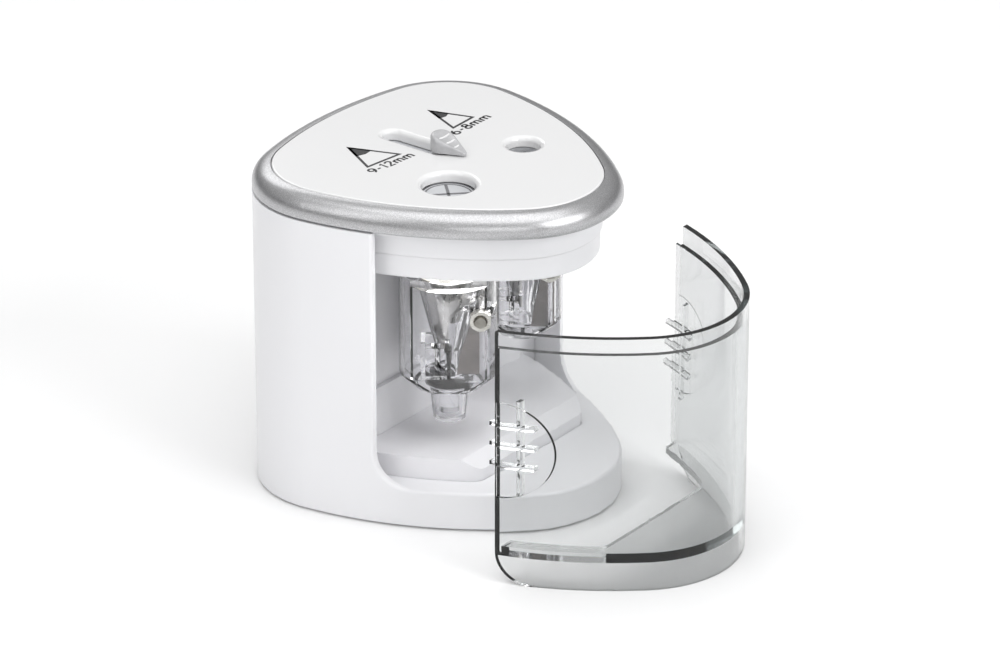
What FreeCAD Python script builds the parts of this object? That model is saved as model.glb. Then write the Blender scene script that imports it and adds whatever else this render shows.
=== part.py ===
import FreeCAD, Part
import math
import os
import re

import Sketcher
from FreeCAD import Placement, Rotation, Vector

# A battery pencil sharpener with two pencil holes and a clear, lift-out shavings container.
# Frame: +Z up, the rounded front corner points to -Y, z = 0 is the table.

DIMENSIONS = [
    # outline of the housing: six tangent arcs
    ("front_radius", 28.42, "front corner of the outline"),
    ("front_centre", 20.04, "front corner's centre, in front of the origin"),
    ("back_radius", 26.02, "back corners of the outline"),
    ("back_centre_x", 20.48, "back corners' centres, each side"),
    ("back_centre_y", 18.27, "back corners' centres, behind the origin"),
    ("side_radius", 98.61, "long side arcs"),
    ("rear_radius", 111.2, "long rear arc"),
    # insets from that outline
    ("flush", 0.0, "outer skin"),
    ("shell_wall", 1.6, "housing wall"),
    ("cover_inset", 1.8, "bottom cover inside the wall"),
    ("wall_inset", 1.9, "partition wall's ends"),
    ("flange_inset", 2.4, "deck flange under the ring"),
    ("deck_inset", 5.5, "upper deck band"),
    ("deck_inner", 6.6, "upper deck band, inside"),
    ("lower_deck_inset", 6.1, "lower deck band"),
    ("lower_deck_inner", 7.1, "lower deck band, inside"),
    ("cover_plate_inset", 6.8, "gear cover plate"),
    ("cover_step_inset", 8.2, "step that the gear cover rests on"),
    ("plate_inset", 5.17, "top plate's edge"),
    ("plate_seat_inset", 5.02, "ring round the top plate"),
    ("ring_inner_inset", 6.4, "ring's inner opening"),
    ("lip_inset", 1.6, "container lip's inner face"),
    ("flap_inset", 2.35, "outer face of the container's end flaps"),
    ("container_inset", 3.1, "container wall's inner face"),
    ("skirt_inset", 1.3, "inner face of the thin skirt under the container's floor"),
    ("tab_outer_inset", 3.6, "outer face of the container's end tabs"),
    ("tab_inner_inset", 4.8, "inner face of the container's end tabs"),
    ("grip_inset", 0.8, "floor of the finger grips"),
    # heights of the housing
    ("stand", 0.7, "gap under the housing, held by the feet"),
    ("foot_height", 1.5, "rubber foot"),
    ("door_top", 1.9, "battery door's inner face"),
    ("channel_top", 2.0, "top of the door's channel"),
    ("cover_top", 3.0, "bottom cover's inner face"),
    ("ledge_bottom", 9.4, "underside of the ledge"),
    ("ledge_top", 11.0, "ledge and low front wall"),
    ("stage_top", 17.2, "stage under the cutters"),
    ("deck_bottom", 69.4, "underside of the gear deck"),
    ("deck_floor", 71.0, "inside floor of the gear deck"),
    ("deck_split", 75.6, "joint between the two deck bands"),
    ("flange_bottom", 82.4, "underside of the deck flange"),
    ("shell_top", 83.4, "top edge of the shell"),
    ("ring_bottom", 83.6, "lower edge of the ring"),
    ("plate_bottom", 88.15, "underside of the top plate"),
    ("ring_top", 90.2, "top of the ring"),
    ("plate_top", 90.4, "top of the plate"),
    ("ring_round", 4.9, "rounding of the ring's shoulder"),
    ("ring_lower_round", 1.1, "rounding of the ring's lower edge"),
    ("plate_round", 0.5, "rounding of the top plate's edge"),
    ("skirt_bottom", 87.6, "lower edge of the skirts round the plate's openings"),
    ("skirt_wall", 1.2, "those skirts"),
    ("band_round", 0.7, "rounding of the deck bands' lower edges"),
    # window in the front of the shell
    ("window_end", 5.0, "window's vertical edges, in front of the origin"),
    ("window_corner", 9.5, "window's lower corners"),
    ("window_round", 0.9, "rounding of the window's outer edges"),
    ("reach", 60.0, "half size of cutting blocks, past the outline"),
    # stage and battery bay
    ("stage_inset", 7.4, "side faces of the stage"),
    ("stage_front", 25.8, "front face of the stage"),
    ("stage_waist", 8.0, "where the stage narrows, behind the partition wall"),
    ("stage_half", 29.8, "half width behind the waist"),
    ("stage_back", 40.8, "rear face of the stage"),
    ("stage_corner", 4.0, "front corners of the stage"),
    ("stage_wall", 1.4, "side wall of the stage"),
    ("stage_roof", 16.2, "ceiling of the battery bay"),
    ("stage_slope", 34.0, "tilt of the sloping band along the stage's front, in degrees"),
    ("stage_slope_back", 21.5, "where that band meets the stage's top"),
    ("stage_slope_reach", 2.0, "how far in front of the stage its cut starts"),
    ("stage_gap", 0.15, "gap round the stage"),
    ("bay_half", 28.4, "half width of the battery bay"),
    ("bay_front", 14.4, "front edge of the battery bay"),
    ("bay_back", 39.4, "rear edge of the battery bay"),
    ("cell_radius", 6.95, "AA cell"),
    ("cell_length", 49.0, "AA cell without its button"),
    ("button_radius", 2.6, "positive button of a cell"),
    ("button_length", 1.2, "positive button of a cell"),
    ("cell_pitch", 14.2, "spacing of the cells"),
    ("cell_middle", 12.6, "middle of the cells, behind the origin"),
    ("cell_axis", 9.1, "height of the cells' axes"),
    ("contact_face", 26.3, "inner faces of the contact plates, from the cells' middle"),
    ("contact_half", 26.6, "half width of the contact plates"),
    ("contact_sheet", 0.5, "thickness of the contact plates"),
    ("coil_radius", 2.9, "battery spring"),
    ("coil_wire", 0.35, "half thickness of its wire"),
    # battery door and feet
    ("door_half", 29.0, "half width of the door's outer face"),
    ("door_flare", 0.9, "dovetail of the door's edges"),
    ("door_front", 16.4, "front edge of the door"),
    ("door_back", 48.0, "rear end of the door before it is trimmed"),
    ("door_edge", 0.3, "door's rear edge inside the outline"),
    ("door_gap", 0.2, "gap round the door"),
    ("foot_radius", 4.0, "rubber foot"),
    ("front_foot_x", 11.0, "front feet"),
    ("front_foot_y", 39.0, "front feet, in front of the origin"),
    ("rear_foot_x", 37.0, "rear feet"),
    ("rear_foot_y", 20.0, "rear feet"),
    # screws and posts
    ("front_screw_x", 20.0, "front housing screws"),
    ("front_screw_y", 30.0, "front housing screws, in front of the origin"),
    ("rear_screw_x", 36.6, "rear housing screws and deck posts"),
    ("rear_screw_y", 31.0, "rear housing screws and deck posts"),
    ("post_radius", 3.0, "screw posts"),
    ("screw_radius", 1.4, "screw shank"),
    ("pilot_radius", 1.5, "screw hole"),
    ("head_radius", 2.7, "screw head"),
    ("head_height", 1.4, "screw head"),
    ("sink_radius", 3.1, "counterbore for a screw head"),
    # cutters
    ("hole_x", 16.0, "pencil holes, each side"),
    ("hole_y", 10.5, "pencil holes, in front of the origin"),
    ("large_hole", 7.2, "hole for thick pencils in the top plate"),
    ("small_hole", 4.6, "hole for thin pencils in the top plate"),
    ("hole_round", 1.3, "soft rim of the holes"),
    ("large_bore", 6.9, "passage for thick pencils"),
    ("small_bore", 4.7, "passage for thin pencils"),
    ("large_hub", 9.0, "hub of the large cutter gear"),
    ("small_hub", 7.0, "hub of the small cutter gear"),
    ("bush_wall", 1.3, "plain bearing"),
    ("bush_play", 0.05, "running fit of the hubs"),
    ("bush_top", 71.9, "top of the plain bearings"),
    ("holder_top", 68.9, "top of the cutter holders"),
    ("large_holder", 13.2, "large cutter holder"),
    ("small_holder", 10.2, "small cutter holder"),
    ("large_holder_bottom", 33.8, "bottom of the large cutter holder"),
    ("small_holder_bottom", 37.0, "bottom of the small cutter holder"),
    ("holder_bevel", 3.6, "bevel under the holders"),
    ("holder_wall", 1.3, "walls of the hollow holders"),
    ("sleeve_wall", 1.2, "walls round the cones, screws and blades in the holders"),
    ("rib_sheet", 0.9, "ribs inside the holders"),
    ("holder_roof", 2.5, "top wall of the holders"),
    ("large_cone_bottom", 43.9, "lower end of the large steel cone"),
    ("small_cone_bottom", 45.0, "lower end of the small steel cone"),
    ("cone_top", 66.0, "upper end of the steel cones"),
    ("cone_wall", 0.6, "steel cones"),
    ("tip_radius", 2.6, "lower end of the cones"),
    ("large_cone", 7.9, "upper end of the large cone"),
    ("small_cone", 5.7, "upper end of the small cone"),
    ("large_flat", 8.6, "flat of the large holder, from its axis"),
    ("small_flat", 7.2, "flat of the small holder, from its axis"),
    ("cup_radius", 5.2, "end cup under the large holder"),
    ("cup_end", 4.3, "end cup at its lower end"),
    ("cup_height", 10.4, "end cup"),
    ("cup_wall", 0.9, "end cup"),
    ("cup_pin", 2.7, "pin inside the end cup"),
    ("blade_sheet", 0.8, "cutter blade"),
    ("nut_flats", 5.5, "blade nut across flats"),
    ("nut_height", 2.4, "blade nut"),
    ("bolt_radius", 1.45, "blade screw"),
    ("seat_half", 3.2, "half width of the recess for the screw's head"),
    ("seat_deep", 1.5, "that recess"),
    ("slit_inner", 4.6, "blade's slit, inner side, in from the flat"),
    ("slit_outer", 3.4, "blade's slit, outer side, in from the flat"),
    ("slit_start", 1.6, "front end of the slit"),
    ("slit_rise", 13.0, "top of the slit, above the cone's lower end"),
    ("port_side", 1.2, "inner side of the chip opening"),
    ("port_reach", 3.6, "how far the chip opening goes in front of the cone's tip"),
    ("port_back", 1.0, "rear edge of the chip opening, in front of the axis"),
    ("port_low", 5.0, "lower edge of the chip opening, above the holder's bottom"),
    ("port_rise", 3.0, "upper edge of the chip opening, above the cone's lower end"),
    ("foot_tall", 3.0, "solid foot of the holders"),
    ("bolt_head", 2.6, "blade screw's head"),
    # gears
    ("tooth_module", 0.8, "gear module"),
    ("tooth_slack", 0.05, "thinning of each tooth flank"),
    ("mesh_slack", 0.15, "extra centre distance"),
    ("cutter_teeth", 32, "cutter gears"),
    ("drive_pinion_teeth", 20, "lower stage of the drive gear"),
    ("drive_wheel_teeth", 28, "upper stage of the drive gear"),
    ("motor_teeth", 12, "motor pinion"),
    ("cutter_gear_low", 72.0, "cutter gears, lower face"),
    ("cutter_gear_high", 77.0, "cutter gears, upper face"),
    ("drive_low", 72.2, "drive gear, lower face"),
    ("drive_wheel_low", 78.3, "drive wheel, lower face"),
    ("drive_high", 82.0, "drive gear, upper face"),
    ("drive_hub", 5.0, "hub between the drive gear's stages"),
    ("axle_radius", 1.5, "drive gear's axle"),
    ("axle_play", 0.05, "running fit on the axle"),
    ("gear_cover_low", 82.6, "gear cover plate"),
    ("gear_cover_high", 84.2, "gear cover plate"),
    ("collar_top", 85.6, "pencil guide collars"),
    ("collar_bottom", 77.4, "pencil guide collars"),
    ("collar_wall", 1.5, "pencil guide collars"),
    # motor
    ("motor_radius", 12.1, "round sides of the motor can"),
    ("motor_flat", 9.15, "flat sides of the motor can"),
    ("motor_low", 38.0, "lower end of the can"),
    ("motor_high", 68.4, "upper end of the can"),
    ("motor_wall", 0.9, "motor can"),
    ("motor_cap_low", 34.6, "plastic end cap of the motor"),
    ("armature_radius", 7.4, "armature"),
    ("commutator_radius", 2.8, "commutator"),
    ("shaft_radius", 1.0, "motor shaft"),
    ("boss_radius", 4.6, "bearing boss on the can"),
    ("cradle_low", 46.0, "motor cradle"),
    ("cradle_high", 54.0, "motor cradle"),
    ("cradle_post_x", 18.4, "posts of the cradle"),
    # selector
    ("shutter_low", 86.0, "shutter plate"),
    ("shutter_high", 87.3, "shutter plate"),
    ("travel", 15.0, "selector travel"),
    ("stem_radius", 2.4, "knob's stem"),
    ("stem_y", 4.6, "stem's centre, behind the origin"),
    ("spine_half", 3.3, "half width of the shutter's spine"),
    ("spine_back", 24.0, "rear end of the spine"),
    ("ring_wall", 1.5, "shutter's ring round the thin pencils' passage"),
    ("ring_arm", 3.0, "half width of the arm that holds that ring"),
    ("slot_half", 2.8, "half width of the slot"),
    ("slot_front", 4.4, "slot's front end centre"),
    ("slot_back", 20.7, "slot's rear end centre"),
    ("knob_low", 90.55, "underside of the knob's head"),
    ("knob_high", 95.3, "top of the knob"),
    ("knob_nose", 91.5, "knob's sloping face at its front end"),
    ("knob_slope", 23.0, "tilt of that face, in degrees"),
    ("knob_half", 3.5, "half width of the knob"),
    ("knob_back", 3.5, "centre of the knob's round end"),
    ("knob_tip", 3.9, "knob's tip, in front of the origin"),
    ("tip_round", 0.9, "radius of that tip"),
    ("ridge_half", 1.9, "half length of the knob's ridges"),
    ("ridge_wide", 0.5, "knob's ridges"),
    ("ridge_high", 0.3, "how far the ridges stand up"),
    ("knob_round", 0.9, "rounding of the knob's top edge"),
    # partition wall, interlock
    ("wall_front", 6.0, "front face of the partition wall"),
    ("wall_back", 7.4, "rear face of the partition wall"),
    ("plinth_front", 4.7, "front face of the wall's foot"),
    ("plinth_top", 31.0, "top of the wall's foot"),
    ("plunger_x", 38.6, "interlock plunger"),
    ("plunger_z", 44.4, "interlock plunger"),
    ("plunger_radius", 1.6, "interlock plunger"),
    ("plunger_tip", 1.1, "plunger's tip, in front of the origin"),
    ("plunger_end", 8.4, "plunger's inner end"),
    # container, at home in the housing
    ("container_low", 11.8, "container's lower edge at home"),
    ("container_lip", 78.4, "top of the container's inner layer"),
    ("container_floor_low", 19.5, "underside of the container's floor"),
    ("container_floor_high", 21.7, "top of the container's floor"),
    ("container_end", 5.2, "end edges, in front of the origin"),
    ("flap_end", 3.7, "end flaps, in front of the origin"),
    ("tab_end", 1.5, "end tabs, in front of the origin"),
    ("container_corner", 9.0, "lower corners of the container"),
    ("flap_corner", 3.0, "lower corners of the end flaps"),
    ("out_x", 7.1, "how far it stands out to the left"),
    ("out_y", 45.4, "how far it stands out to the front"),
    ("grip_low", 36.5, "finger grip, at home"),
    ("grip_high", 63.5, "finger grip, at home"),
    ("grip_before", 0.8, "centre of the grip's curve, in front of the wall's end"),
    ("post_y", 9.3, "upright rib of the grips, in front of the origin"),
    ("post_half", 0.5, "that rib"),
    ("rib_pitch", 5.6, "grip ribs"),
    ("rib_height", 1.1, "grip ribs"),
    ("rib_start", 13.0, "front end of the grip ribs"),
]

SEAM_CUTS = [(-36.2, -8.4, 17.5), (-17.2, -34.0, 51.0)]   # x, y, direction in degrees
BLADE_BEARING = -142.55                                   # direction the holders' flats face
PRESSURE_ANGLE = math.radians(20)
ADDENDUM = 0.8                                            # in modules, shortened for few teeth
DEDENDUM = 1.2

doc = FreeCAD.newDocument("PencilSharpener")
sheet = doc.addObject("Spreadsheet::Sheet", "Dimensions")
for row, (alias, value, meaning) in enumerate(DIMENSIONS, start=1):
    sheet.set(f"A{row}", alias)
    sheet.set(f"B{row}", str(value))
    sheet.set(f"C{row}", meaning)
    sheet.setAlias(f"B{row}", alias)
doc.recompute()
D = {alias: float(sheet.get(alias)) for alias, value, meaning in DIMENSIONS}


# ---------------------------------------------------------------- helpers

def in_sheet(text):
    """Puts the sheet's name in front of each alias in an expression."""
    return re.sub(r"[a-z][a-z_]+", lambda m: "Dimensions." + m[0] if m[0] in D else m[0], str(text))


def value(text):
    """Adds up an expression made of aliases and numbers."""
    terms = re.findall(r"([+-]?)\s*([a-z_]+|[\d.]+)", str(text))
    return sum((-1 if sign == "-" else 1) * (D[term] if term in D else float(term)) for sign, term in terms)


def bind(item, properties):
    for name, text in properties.items():
        item.setExpression(name, in_sheet(text))
    return item


def put(item, x=0, y=0, z=0):
    return bind(item, {"Placement.Base.x": x, "Placement.Base.y": y, "Placement.Base.z": z})


def turn(item, axis, degrees):
    item.Placement = Placement(item.Placement.Base, Rotation(Vector(*axis), degrees))
    return item


def cylinder(name, radius, height, x=0, y=0, z=0):
    return put(bind(doc.addObject("Part::Cylinder", name), {"Radius": radius, "Height": height}), x, y, z)


def cone(name, low_radius, high_radius, height, x=0, y=0, z=0):
    sizes = {"Radius1": low_radius, "Radius2": high_radius, "Height": height}
    return put(bind(doc.addObject("Part::Cone", name), sizes), x, y, z)


def box(name, low, high):
    """A block between two corners, each given as three expressions."""
    sides = {side: f"({b}) - ({a})" for side, a, b in zip(("Length", "Width", "Height"), low, high)}
    return put(bind(doc.addObject("Part::Box", name), sides), *low)


def cut(name, base, *tools):
    item = doc.addObject("Part::Cut", name)
    item.Base = base
    item.Tool = tools[0] if len(tools) == 1 else fuse(name + "_tools", *tools)
    return item


def fuse(name, *shapes):
    item = doc.addObject("Part::MultiFuse", name)
    item.Shapes = list(shapes)
    return item


def group(name, *shapes):
    """Separate solids kept together as one sub-part."""
    item = doc.addObject("Part::Compound", name)
    item.Links = list(shapes)
    return item


def common(name, first, second):
    item = doc.addObject("Part::MultiCommon", name)
    item.Shapes = [first, second]
    return item


def round_edges(name, base, radius, wanted):
    """Rounds every edge that the test picks."""
    doc.recompute()
    item = doc.addObject("Part::Fillet", name)
    item.Base = base
    item.Edges = [(i, radius, radius) for i, edge in enumerate(base.Shape.Edges, start=1) if wanted(edge)]
    return item


def at_height(z):
    return lambda edge: all(abs(v.Z - z) < 1e-4 for v in edge.Vertexes)


def origin_plane(body, role):
    return next(feature for feature in body.Origin.OriginFeatures if feature.Role == role)


def new_sketch(body, name, role="XY_Plane", height="0"):
    sketch = body.newObject("Sketcher::SketchObject", name)
    sketch.AttachmentSupport = [(origin_plane(body, role), "")]
    sketch.MapMode = "FlatFace"
    return bind(sketch, {"AttachmentOffset.Base.z": height})


def constrain(sketch, kind, *where, size=None, expression=None):
    number = sketch.addConstraint(Sketcher.Constraint(kind, *where, *([] if size is None else [size])))
    if expression:
        sketch.setExpression(f"Constraints[{number}]", in_sheet(expression))


def arc_between(centre, radius, start, end):
    """Counter-clockwise arc about centre from the direction of start to that of end."""
    first, last = (math.atan2(p.y - centre.y, p.x - centre.x) for p in (start, end))
    return Part.ArcOfCircle(Part.Circle(centre, Vector(0, 0, 1), radius), first, last)


def outline(sketch, inset):
    """The housing's outline, moved in: six arcs, each tangent to the next."""
    small, back = D["front_radius"], D["back_radius"]
    front = Vector(0, -D["front_centre"], 0)
    right = Vector(D["back_centre_x"], D["back_centre_y"], 0)
    left = Vector(-right.x, right.y, 0)
    # the side arc's centre lies at known distances from the two corners that it joins
    to_front, to_back = D["side_radius"] - small, D["side_radius"] - back
    line = right - front
    gap = line.Length
    along = (to_front**2 - to_back**2 + gap**2) / (2 * gap)
    across = math.sqrt(to_front**2 - along**2)
    side_right = front + line * (along / gap) + Vector(-line.y, line.x, 0) * (across / gap)
    side_left = Vector(-side_right.x, side_right.y, 0)
    rear = Vector(0, right.y - math.sqrt((D["rear_radius"] - back)**2 - right.x**2), 0)
    arcs = [(front, "front_radius"), (side_right, "side_radius"), (right, "back_radius"),
            (rear, "rear_radius"), (left, "back_radius"), (side_left, "side_radius")]

    def touch(i):
        """Where arc i meets the next one."""
        (a, size_a), (b, size_b) = arcs[i], arcs[(i + 1) % len(arcs)]
        big, little = (a, b) if D[size_a] > D[size_b] else (b, a)
        return big + (little - big).normalize() * max(D[size_a], D[size_b])

    for i, (centre, radius) in enumerate(arcs):
        sketch.addGeometry(arc_between(centre, D[radius] - value(inset), touch(i - 1), touch(i)), False)
    for i, (centre, radius) in enumerate(arcs):
        constrain(sketch, "Tangent", i, 2, (i + 1) % len(arcs), 1)
    for i, (centre, radius) in enumerate(arcs[:4]):
        constrain(sketch, "Radius", i, size=D[radius] - value(inset), expression=f"{radius} - ({inset})")
    constrain(sketch, "Equal", 2, 4)
    constrain(sketch, "PointOnObject", 0, 3, -2)
    constrain(sketch, "DistanceY", 0, 3, -1, 1, size=D["front_centre"], expression="front_centre")
    constrain(sketch, "DistanceX", -1, 1, 2, 3, size=D["back_centre_x"], expression="back_centre_x")
    constrain(sketch, "DistanceY", -1, 1, 2, 3, size=D["back_centre_y"], expression="back_centre_y")
    constrain(sketch, "Symmetric", 2, 3, 4, 3, -2)
    constrain(sketch, "Equal", 1, 5)


def pad(body, name, sketch, length):
    item = body.newObject("PartDesign::Pad", name)
    item.Profile = sketch
    sketch.Visibility = False
    return bind(item, {"Length": length})


def outline_prism(name, inset, low, high, rounds=()):
    """A solid slice of the housing's outline; rounds lists (height, radius) of edges to round."""
    body = doc.addObject("PartDesign::Body", name)
    sketch = new_sketch(body, name + "_sketch", height=low)
    outline(sketch, inset)
    last = pad(body, name + "_pad", sketch, f"({high}) - ({low})")
    for height, radius in rounds:
        doc.recompute()
        on_level = at_height(D[height])
        edges = [f"Edge{i}" for i, edge in enumerate(last.Shape.Edges, start=1) if on_level(edge)]
        last_round = body.newObject("PartDesign::Fillet", f"{name}_{radius}")
        last_round.Base = (last, edges)
        last = bind(last_round, {"Radius": radius})
    return body


def front_block(name, end, low, high, corner):
    """Everything in front of y = -end, between two heights, with its lower rear edge rounded."""
    block = box(name + "_block", ("-reach", "-2 * reach", low), ("reach", f"-{end}", high))
    edge_y, edge_z = -D[end], D[low]

    def lower_rear(edge):
        return all(abs(v.Y - edge_y) < 1e-4 and abs(v.Z - edge_z) < 1e-4 for v in edge.Vertexes)

    return round_edges(name, block, D[corner], lower_rear)


def footprint(name, low, high, grow):
    """The stage's plan, grown by a margin: a slice of the outline with a straight front and a narrow rear."""
    front = f"-stage_front - {grow}"
    waist = box(name + "_waist", ("-reach", front, low), ("reach", "stage_waist", high))
    wide = common(name + "_wide", outline_prism(name + "_outline", f"stage_inset - {grow}", low, high), waist)
    front_y = value(front)

    def front_corner(edge):
        ends = edge.Vertexes
        return abs(ends[0].Z - ends[-1].Z) > 1 and all(abs(v.Y - front_y) < 1e-3 for v in ends)

    rounded = round_edges(name + "_rounded", wide, D["stage_corner"], front_corner)
    narrow = box(name + "_narrow", (f"-stage_half - {grow}", "stage_waist - 1", low),
                 (f"stage_half + {grow}", f"stage_back + {grow}", high))
    return fuse(name, rounded, narrow)


SUBPARTS = {}


def keep(node, item):
    item.Label = node
    SUBPARTS[node] = item
    return item


def both_sides(make):
    """Calls make for the right (+1) and the left (-1)."""
    return [make(side) for side in (1, -1)]


# ---------------------------------------------------------------- gears

def involute(angle):
    return math.tan(angle) - angle


def gear_blank(name, teeth, low, high, x, y, phase):
    """A spur gear: a disc, one tooth gap cut out of it, and that cut repeated round the axis."""
    count, module = D[teeth], D["tooth_module"]
    pitch_radius = module * count / 2
    base_radius = pitch_radius * math.cos(PRESSURE_ANGLE)
    tip, root = pitch_radius + ADDENDUM * module, pitch_radius - DEDENDUM * module
    body = doc.addObject("PartDesign::Body", name)
    disc = new_sketch(body, name + "_disc", height=low)
    disc.addGeometry(Part.Circle(Vector(0, 0, 0), Vector(0, 0, 1), tip), False)
    constrain(disc, "Coincident", 0, 3, -1, 1)
    constrain(disc, "Radius", 0, size=tip, expression=f"tooth_module * ({teeth} / 2 + {ADDENDUM})")
    pad(body, name + "_pad", disc, f"({high}) - ({low})")

    def half_gap(radius):
        slope = math.acos(min(1, base_radius / max(radius, base_radius)))
        half_tooth = (math.pi / (2 * count) - D["tooth_slack"] / pitch_radius
                      + involute(PRESSURE_ANGLE) - involute(slope))
        return math.pi / count - half_tooth

    def flank(side):
        levels = (root, max(root, base_radius), (max(root, base_radius) + tip) / 2, tip, tip + 1)
        angles = [side * half_gap(min(radius, tip)) for radius in levels]
        return [Vector(r * math.cos(a), r * math.sin(a), 0) for r, a in zip(levels, angles)]

    gap = new_sketch(body, name + "_gap", height=low)
    upper, lower = flank(1), flank(-1)
    edges = [Part.LineSegment(upper[4], lower[4]), Part.LineSegment(upper[0], lower[0])]
    for start, bend, middle, end, out in (upper, lower):
        if start.distanceToPoint(bend) > 1e-6:
            edges.append(Part.LineSegment(start, bend))
        edges += [Part.Arc(bend, middle, end), Part.LineSegment(end, out)]
    gap.addGeometry(edges, False)
    doc.recompute()
    pocket = body.newObject("PartDesign::Pocket", name + "_pocket")
    pocket.Profile = gap
    pocket.Type = "ThroughAll"
    pocket.Reversed = True
    pattern = body.newObject("PartDesign::PolarPattern", name + "_teeth")
    pattern.Originals = [pocket]
    pattern.Axis = (origin_plane(body, "Z_Axis"), [""])
    pattern.Angle = 360
    bind(pattern, {"Occurrences": teeth})
    body.Tip = pattern
    turn(body, (0, 0, 1), math.degrees(phase))
    return put(body, x, y)


def pitch_of(teeth):
    return D["tooth_module"] * D[teeth] / 2


def meshed_phase(driver, driver_teeth, driver_phase, other, other_teeth):
    """The phase that puts the other gear's tooth in a gap of the driver; gap 0 is at the phase."""
    direction = math.atan2(other.y - driver.y, other.x - driver.x)
    driver_step = direction - driver_phase
    ratio = D[driver_teeth] / D[other_teeth]
    half_tooth = math.pi / D[other_teeth]
    return direction + math.pi + driver_step * ratio + half_tooth


spindle = Vector(-D["hole_x"], -D["hole_y"], 0)
spindle_small = Vector(D["hole_x"], -D["hole_y"], 0)
mesh_distance = pitch_of("cutter_teeth") + pitch_of("drive_pinion_teeth") + D["mesh_slack"]
motor_distance = pitch_of("drive_wheel_teeth") + pitch_of("motor_teeth") + D["mesh_slack"]
drive = Vector(0, math.sqrt(mesh_distance**2 - D["hole_x"]**2) - D["hole_y"], 0)
motor = Vector(0, drive.y + motor_distance, 0)
DRIVE_Y = "(sqrt((tooth_module * (cutter_teeth + drive_pinion_teeth) / 2 + mesh_slack)^2 - hole_x^2) - hole_y)"
MOTOR_Y = f"({DRIVE_Y} + tooth_module * (drive_wheel_teeth + motor_teeth) / 2 + mesh_slack)"


# ---------------------------------------------------------------- housing

def make_shell():
    skin = outline_prism("shell_skin", "flush", "stand", "shell_top")
    hollow = outline_prism("shell_hollow", "shell_wall", "ledge_top", "shell_top + 1")
    cellar = outline_prism("shell_cellar", "shell_wall", "stand - 1", "ledge_bottom")
    stage_hole = footprint("shell_stage_hole", "ledge_bottom - 1", "ledge_top + 1", "stage_gap")
    door_way = box("shell_door_way", ("-door_half - door_flare - 0.5", "bay_back - 4", "stand - 1"),
                   ("door_half + door_flare + 0.5", "reach", "channel_top + 0.1"))
    window = front_block("shell_window", "window_end", "ledge_top", "reach", "window_corner")
    window_top = box("shell_window_top", ("-reach", "-reach", "reach - 1"),
                     ("reach", "-window_end", "2 * reach"))
    case = cut("shell_case", skin, hollow, cellar, stage_hole, door_way, window, window_top)
    doc.recompute()
    wall_faces = Part.Compound([face for face in skin.Shape.Faces if abs(face.normalAt(0, 0).z) < 0.5])

    def window_edge(edge):
        points = edge.discretize(3)
        return (all(p.y < 1e-3 - D["window_end"] and D["stand"] + 1 < p.z for p in points)
                and points[1].z < D["shell_top"] - 1
                and all(Part.Vertex(p).distToShape(wall_faces)[0] < 1e-3 for p in points))

    shell = round_edges("shell_rounded", case, D["window_round"], window_edge)
    posts, pilots = [], []
    for side in ("", "-"):
        posts.append(cylinder("post", "post_radius", "deck_bottom - ledge_bottom - 0.05",
                              f"{side}rear_screw_x", "rear_screw_y", "ledge_bottom"))
        posts.append(cylinder("boss", "post_radius", "ledge_top - cover_top - 0.55",
                              f"{side}rear_screw_x", "rear_screw_y", "cover_top + 0.05"))
        posts.append(cylinder("boss", "post_radius", "ledge_top - cover_top - 0.55",
                              f"{side}front_screw_x", "-front_screw_y", "cover_top + 0.05"))
        pilots.append(cylinder("pilot", "pilot_radius", 12, f"{side}rear_screw_x", "rear_screw_y",
                               "deck_bottom - 12"))
        pilots.append(cylinder("pilot", "pilot_radius", 7, f"{side}rear_screw_x", "rear_screw_y",
                               "cover_top - 1"))
        pilots.append(cylinder("pilot", "pilot_radius", 7, f"{side}front_screw_x", "-front_screw_y",
                               "cover_top - 1"))
    keep("body_shell", cut("body_shell", fuse("shell_with_posts", shell, *posts), *pilots))


def make_base():
    plate = outline_prism("cover_plate", "cover_inset", "stand", "cover_top")
    bay = box("cover_bay", ("-bay_half", "-bay_front", 0), ("bay_half", "bay_back", "cover_top + 1"))
    channel = door_prism("cover_channel", "door_gap", "door_back + 8", "channel_top")
    holes = []
    for side in ("", "-"):
        for x, y in (("rear_screw_x", "rear_screw_y"), ("front_screw_x", "-front_screw_y")):
            holes.append(cylinder("cover_hole", "pilot_radius", "cover_top + 1", side + x, y))
            holes.append(cylinder("cover_sink", "sink_radius", "stand + head_height", side + x, y))
        for x, y in (("rear_foot_x", "rear_foot_y"), ("front_foot_x", "-front_foot_y")):
            holes.append(cylinder("foot_seat", "foot_radius + 0.1", "foot_height", side + x, y))
    keep("bottom_cover", cut("bottom_cover", plate, bay, channel, *holes))
    keep("battery_door", common("battery_door", door_prism("door_slab", "0", "door_back", "door_top"),
                                outline_prism("door_trim", "door_edge", "stand - 1", "door_top + 1")))

    feet = [cylinder("foot", "foot_radius", "foot_height", side + x, y)
            for side in ("", "-")
            for x, y in (("rear_foot_x", "rear_foot_y"), ("front_foot_x", "-front_foot_y"))]
    keep("rubber_feet", group("rubber_feet", *feet))
    screws = [fuse("housing_screw",
                   cylinder("screw_head", "head_radius", "head_height", side + x, y, "stand"),
                   cylinder("screw_shank", "screw_radius", 7, side + x, y, "stand + head_height - 0.1"))
              for side in ("", "-")
              for x, y in (("rear_screw_x", "rear_screw_y"), ("front_screw_x", "-front_screw_y"))]
    keep("housing_screws", group("housing_screws", *screws))


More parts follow.
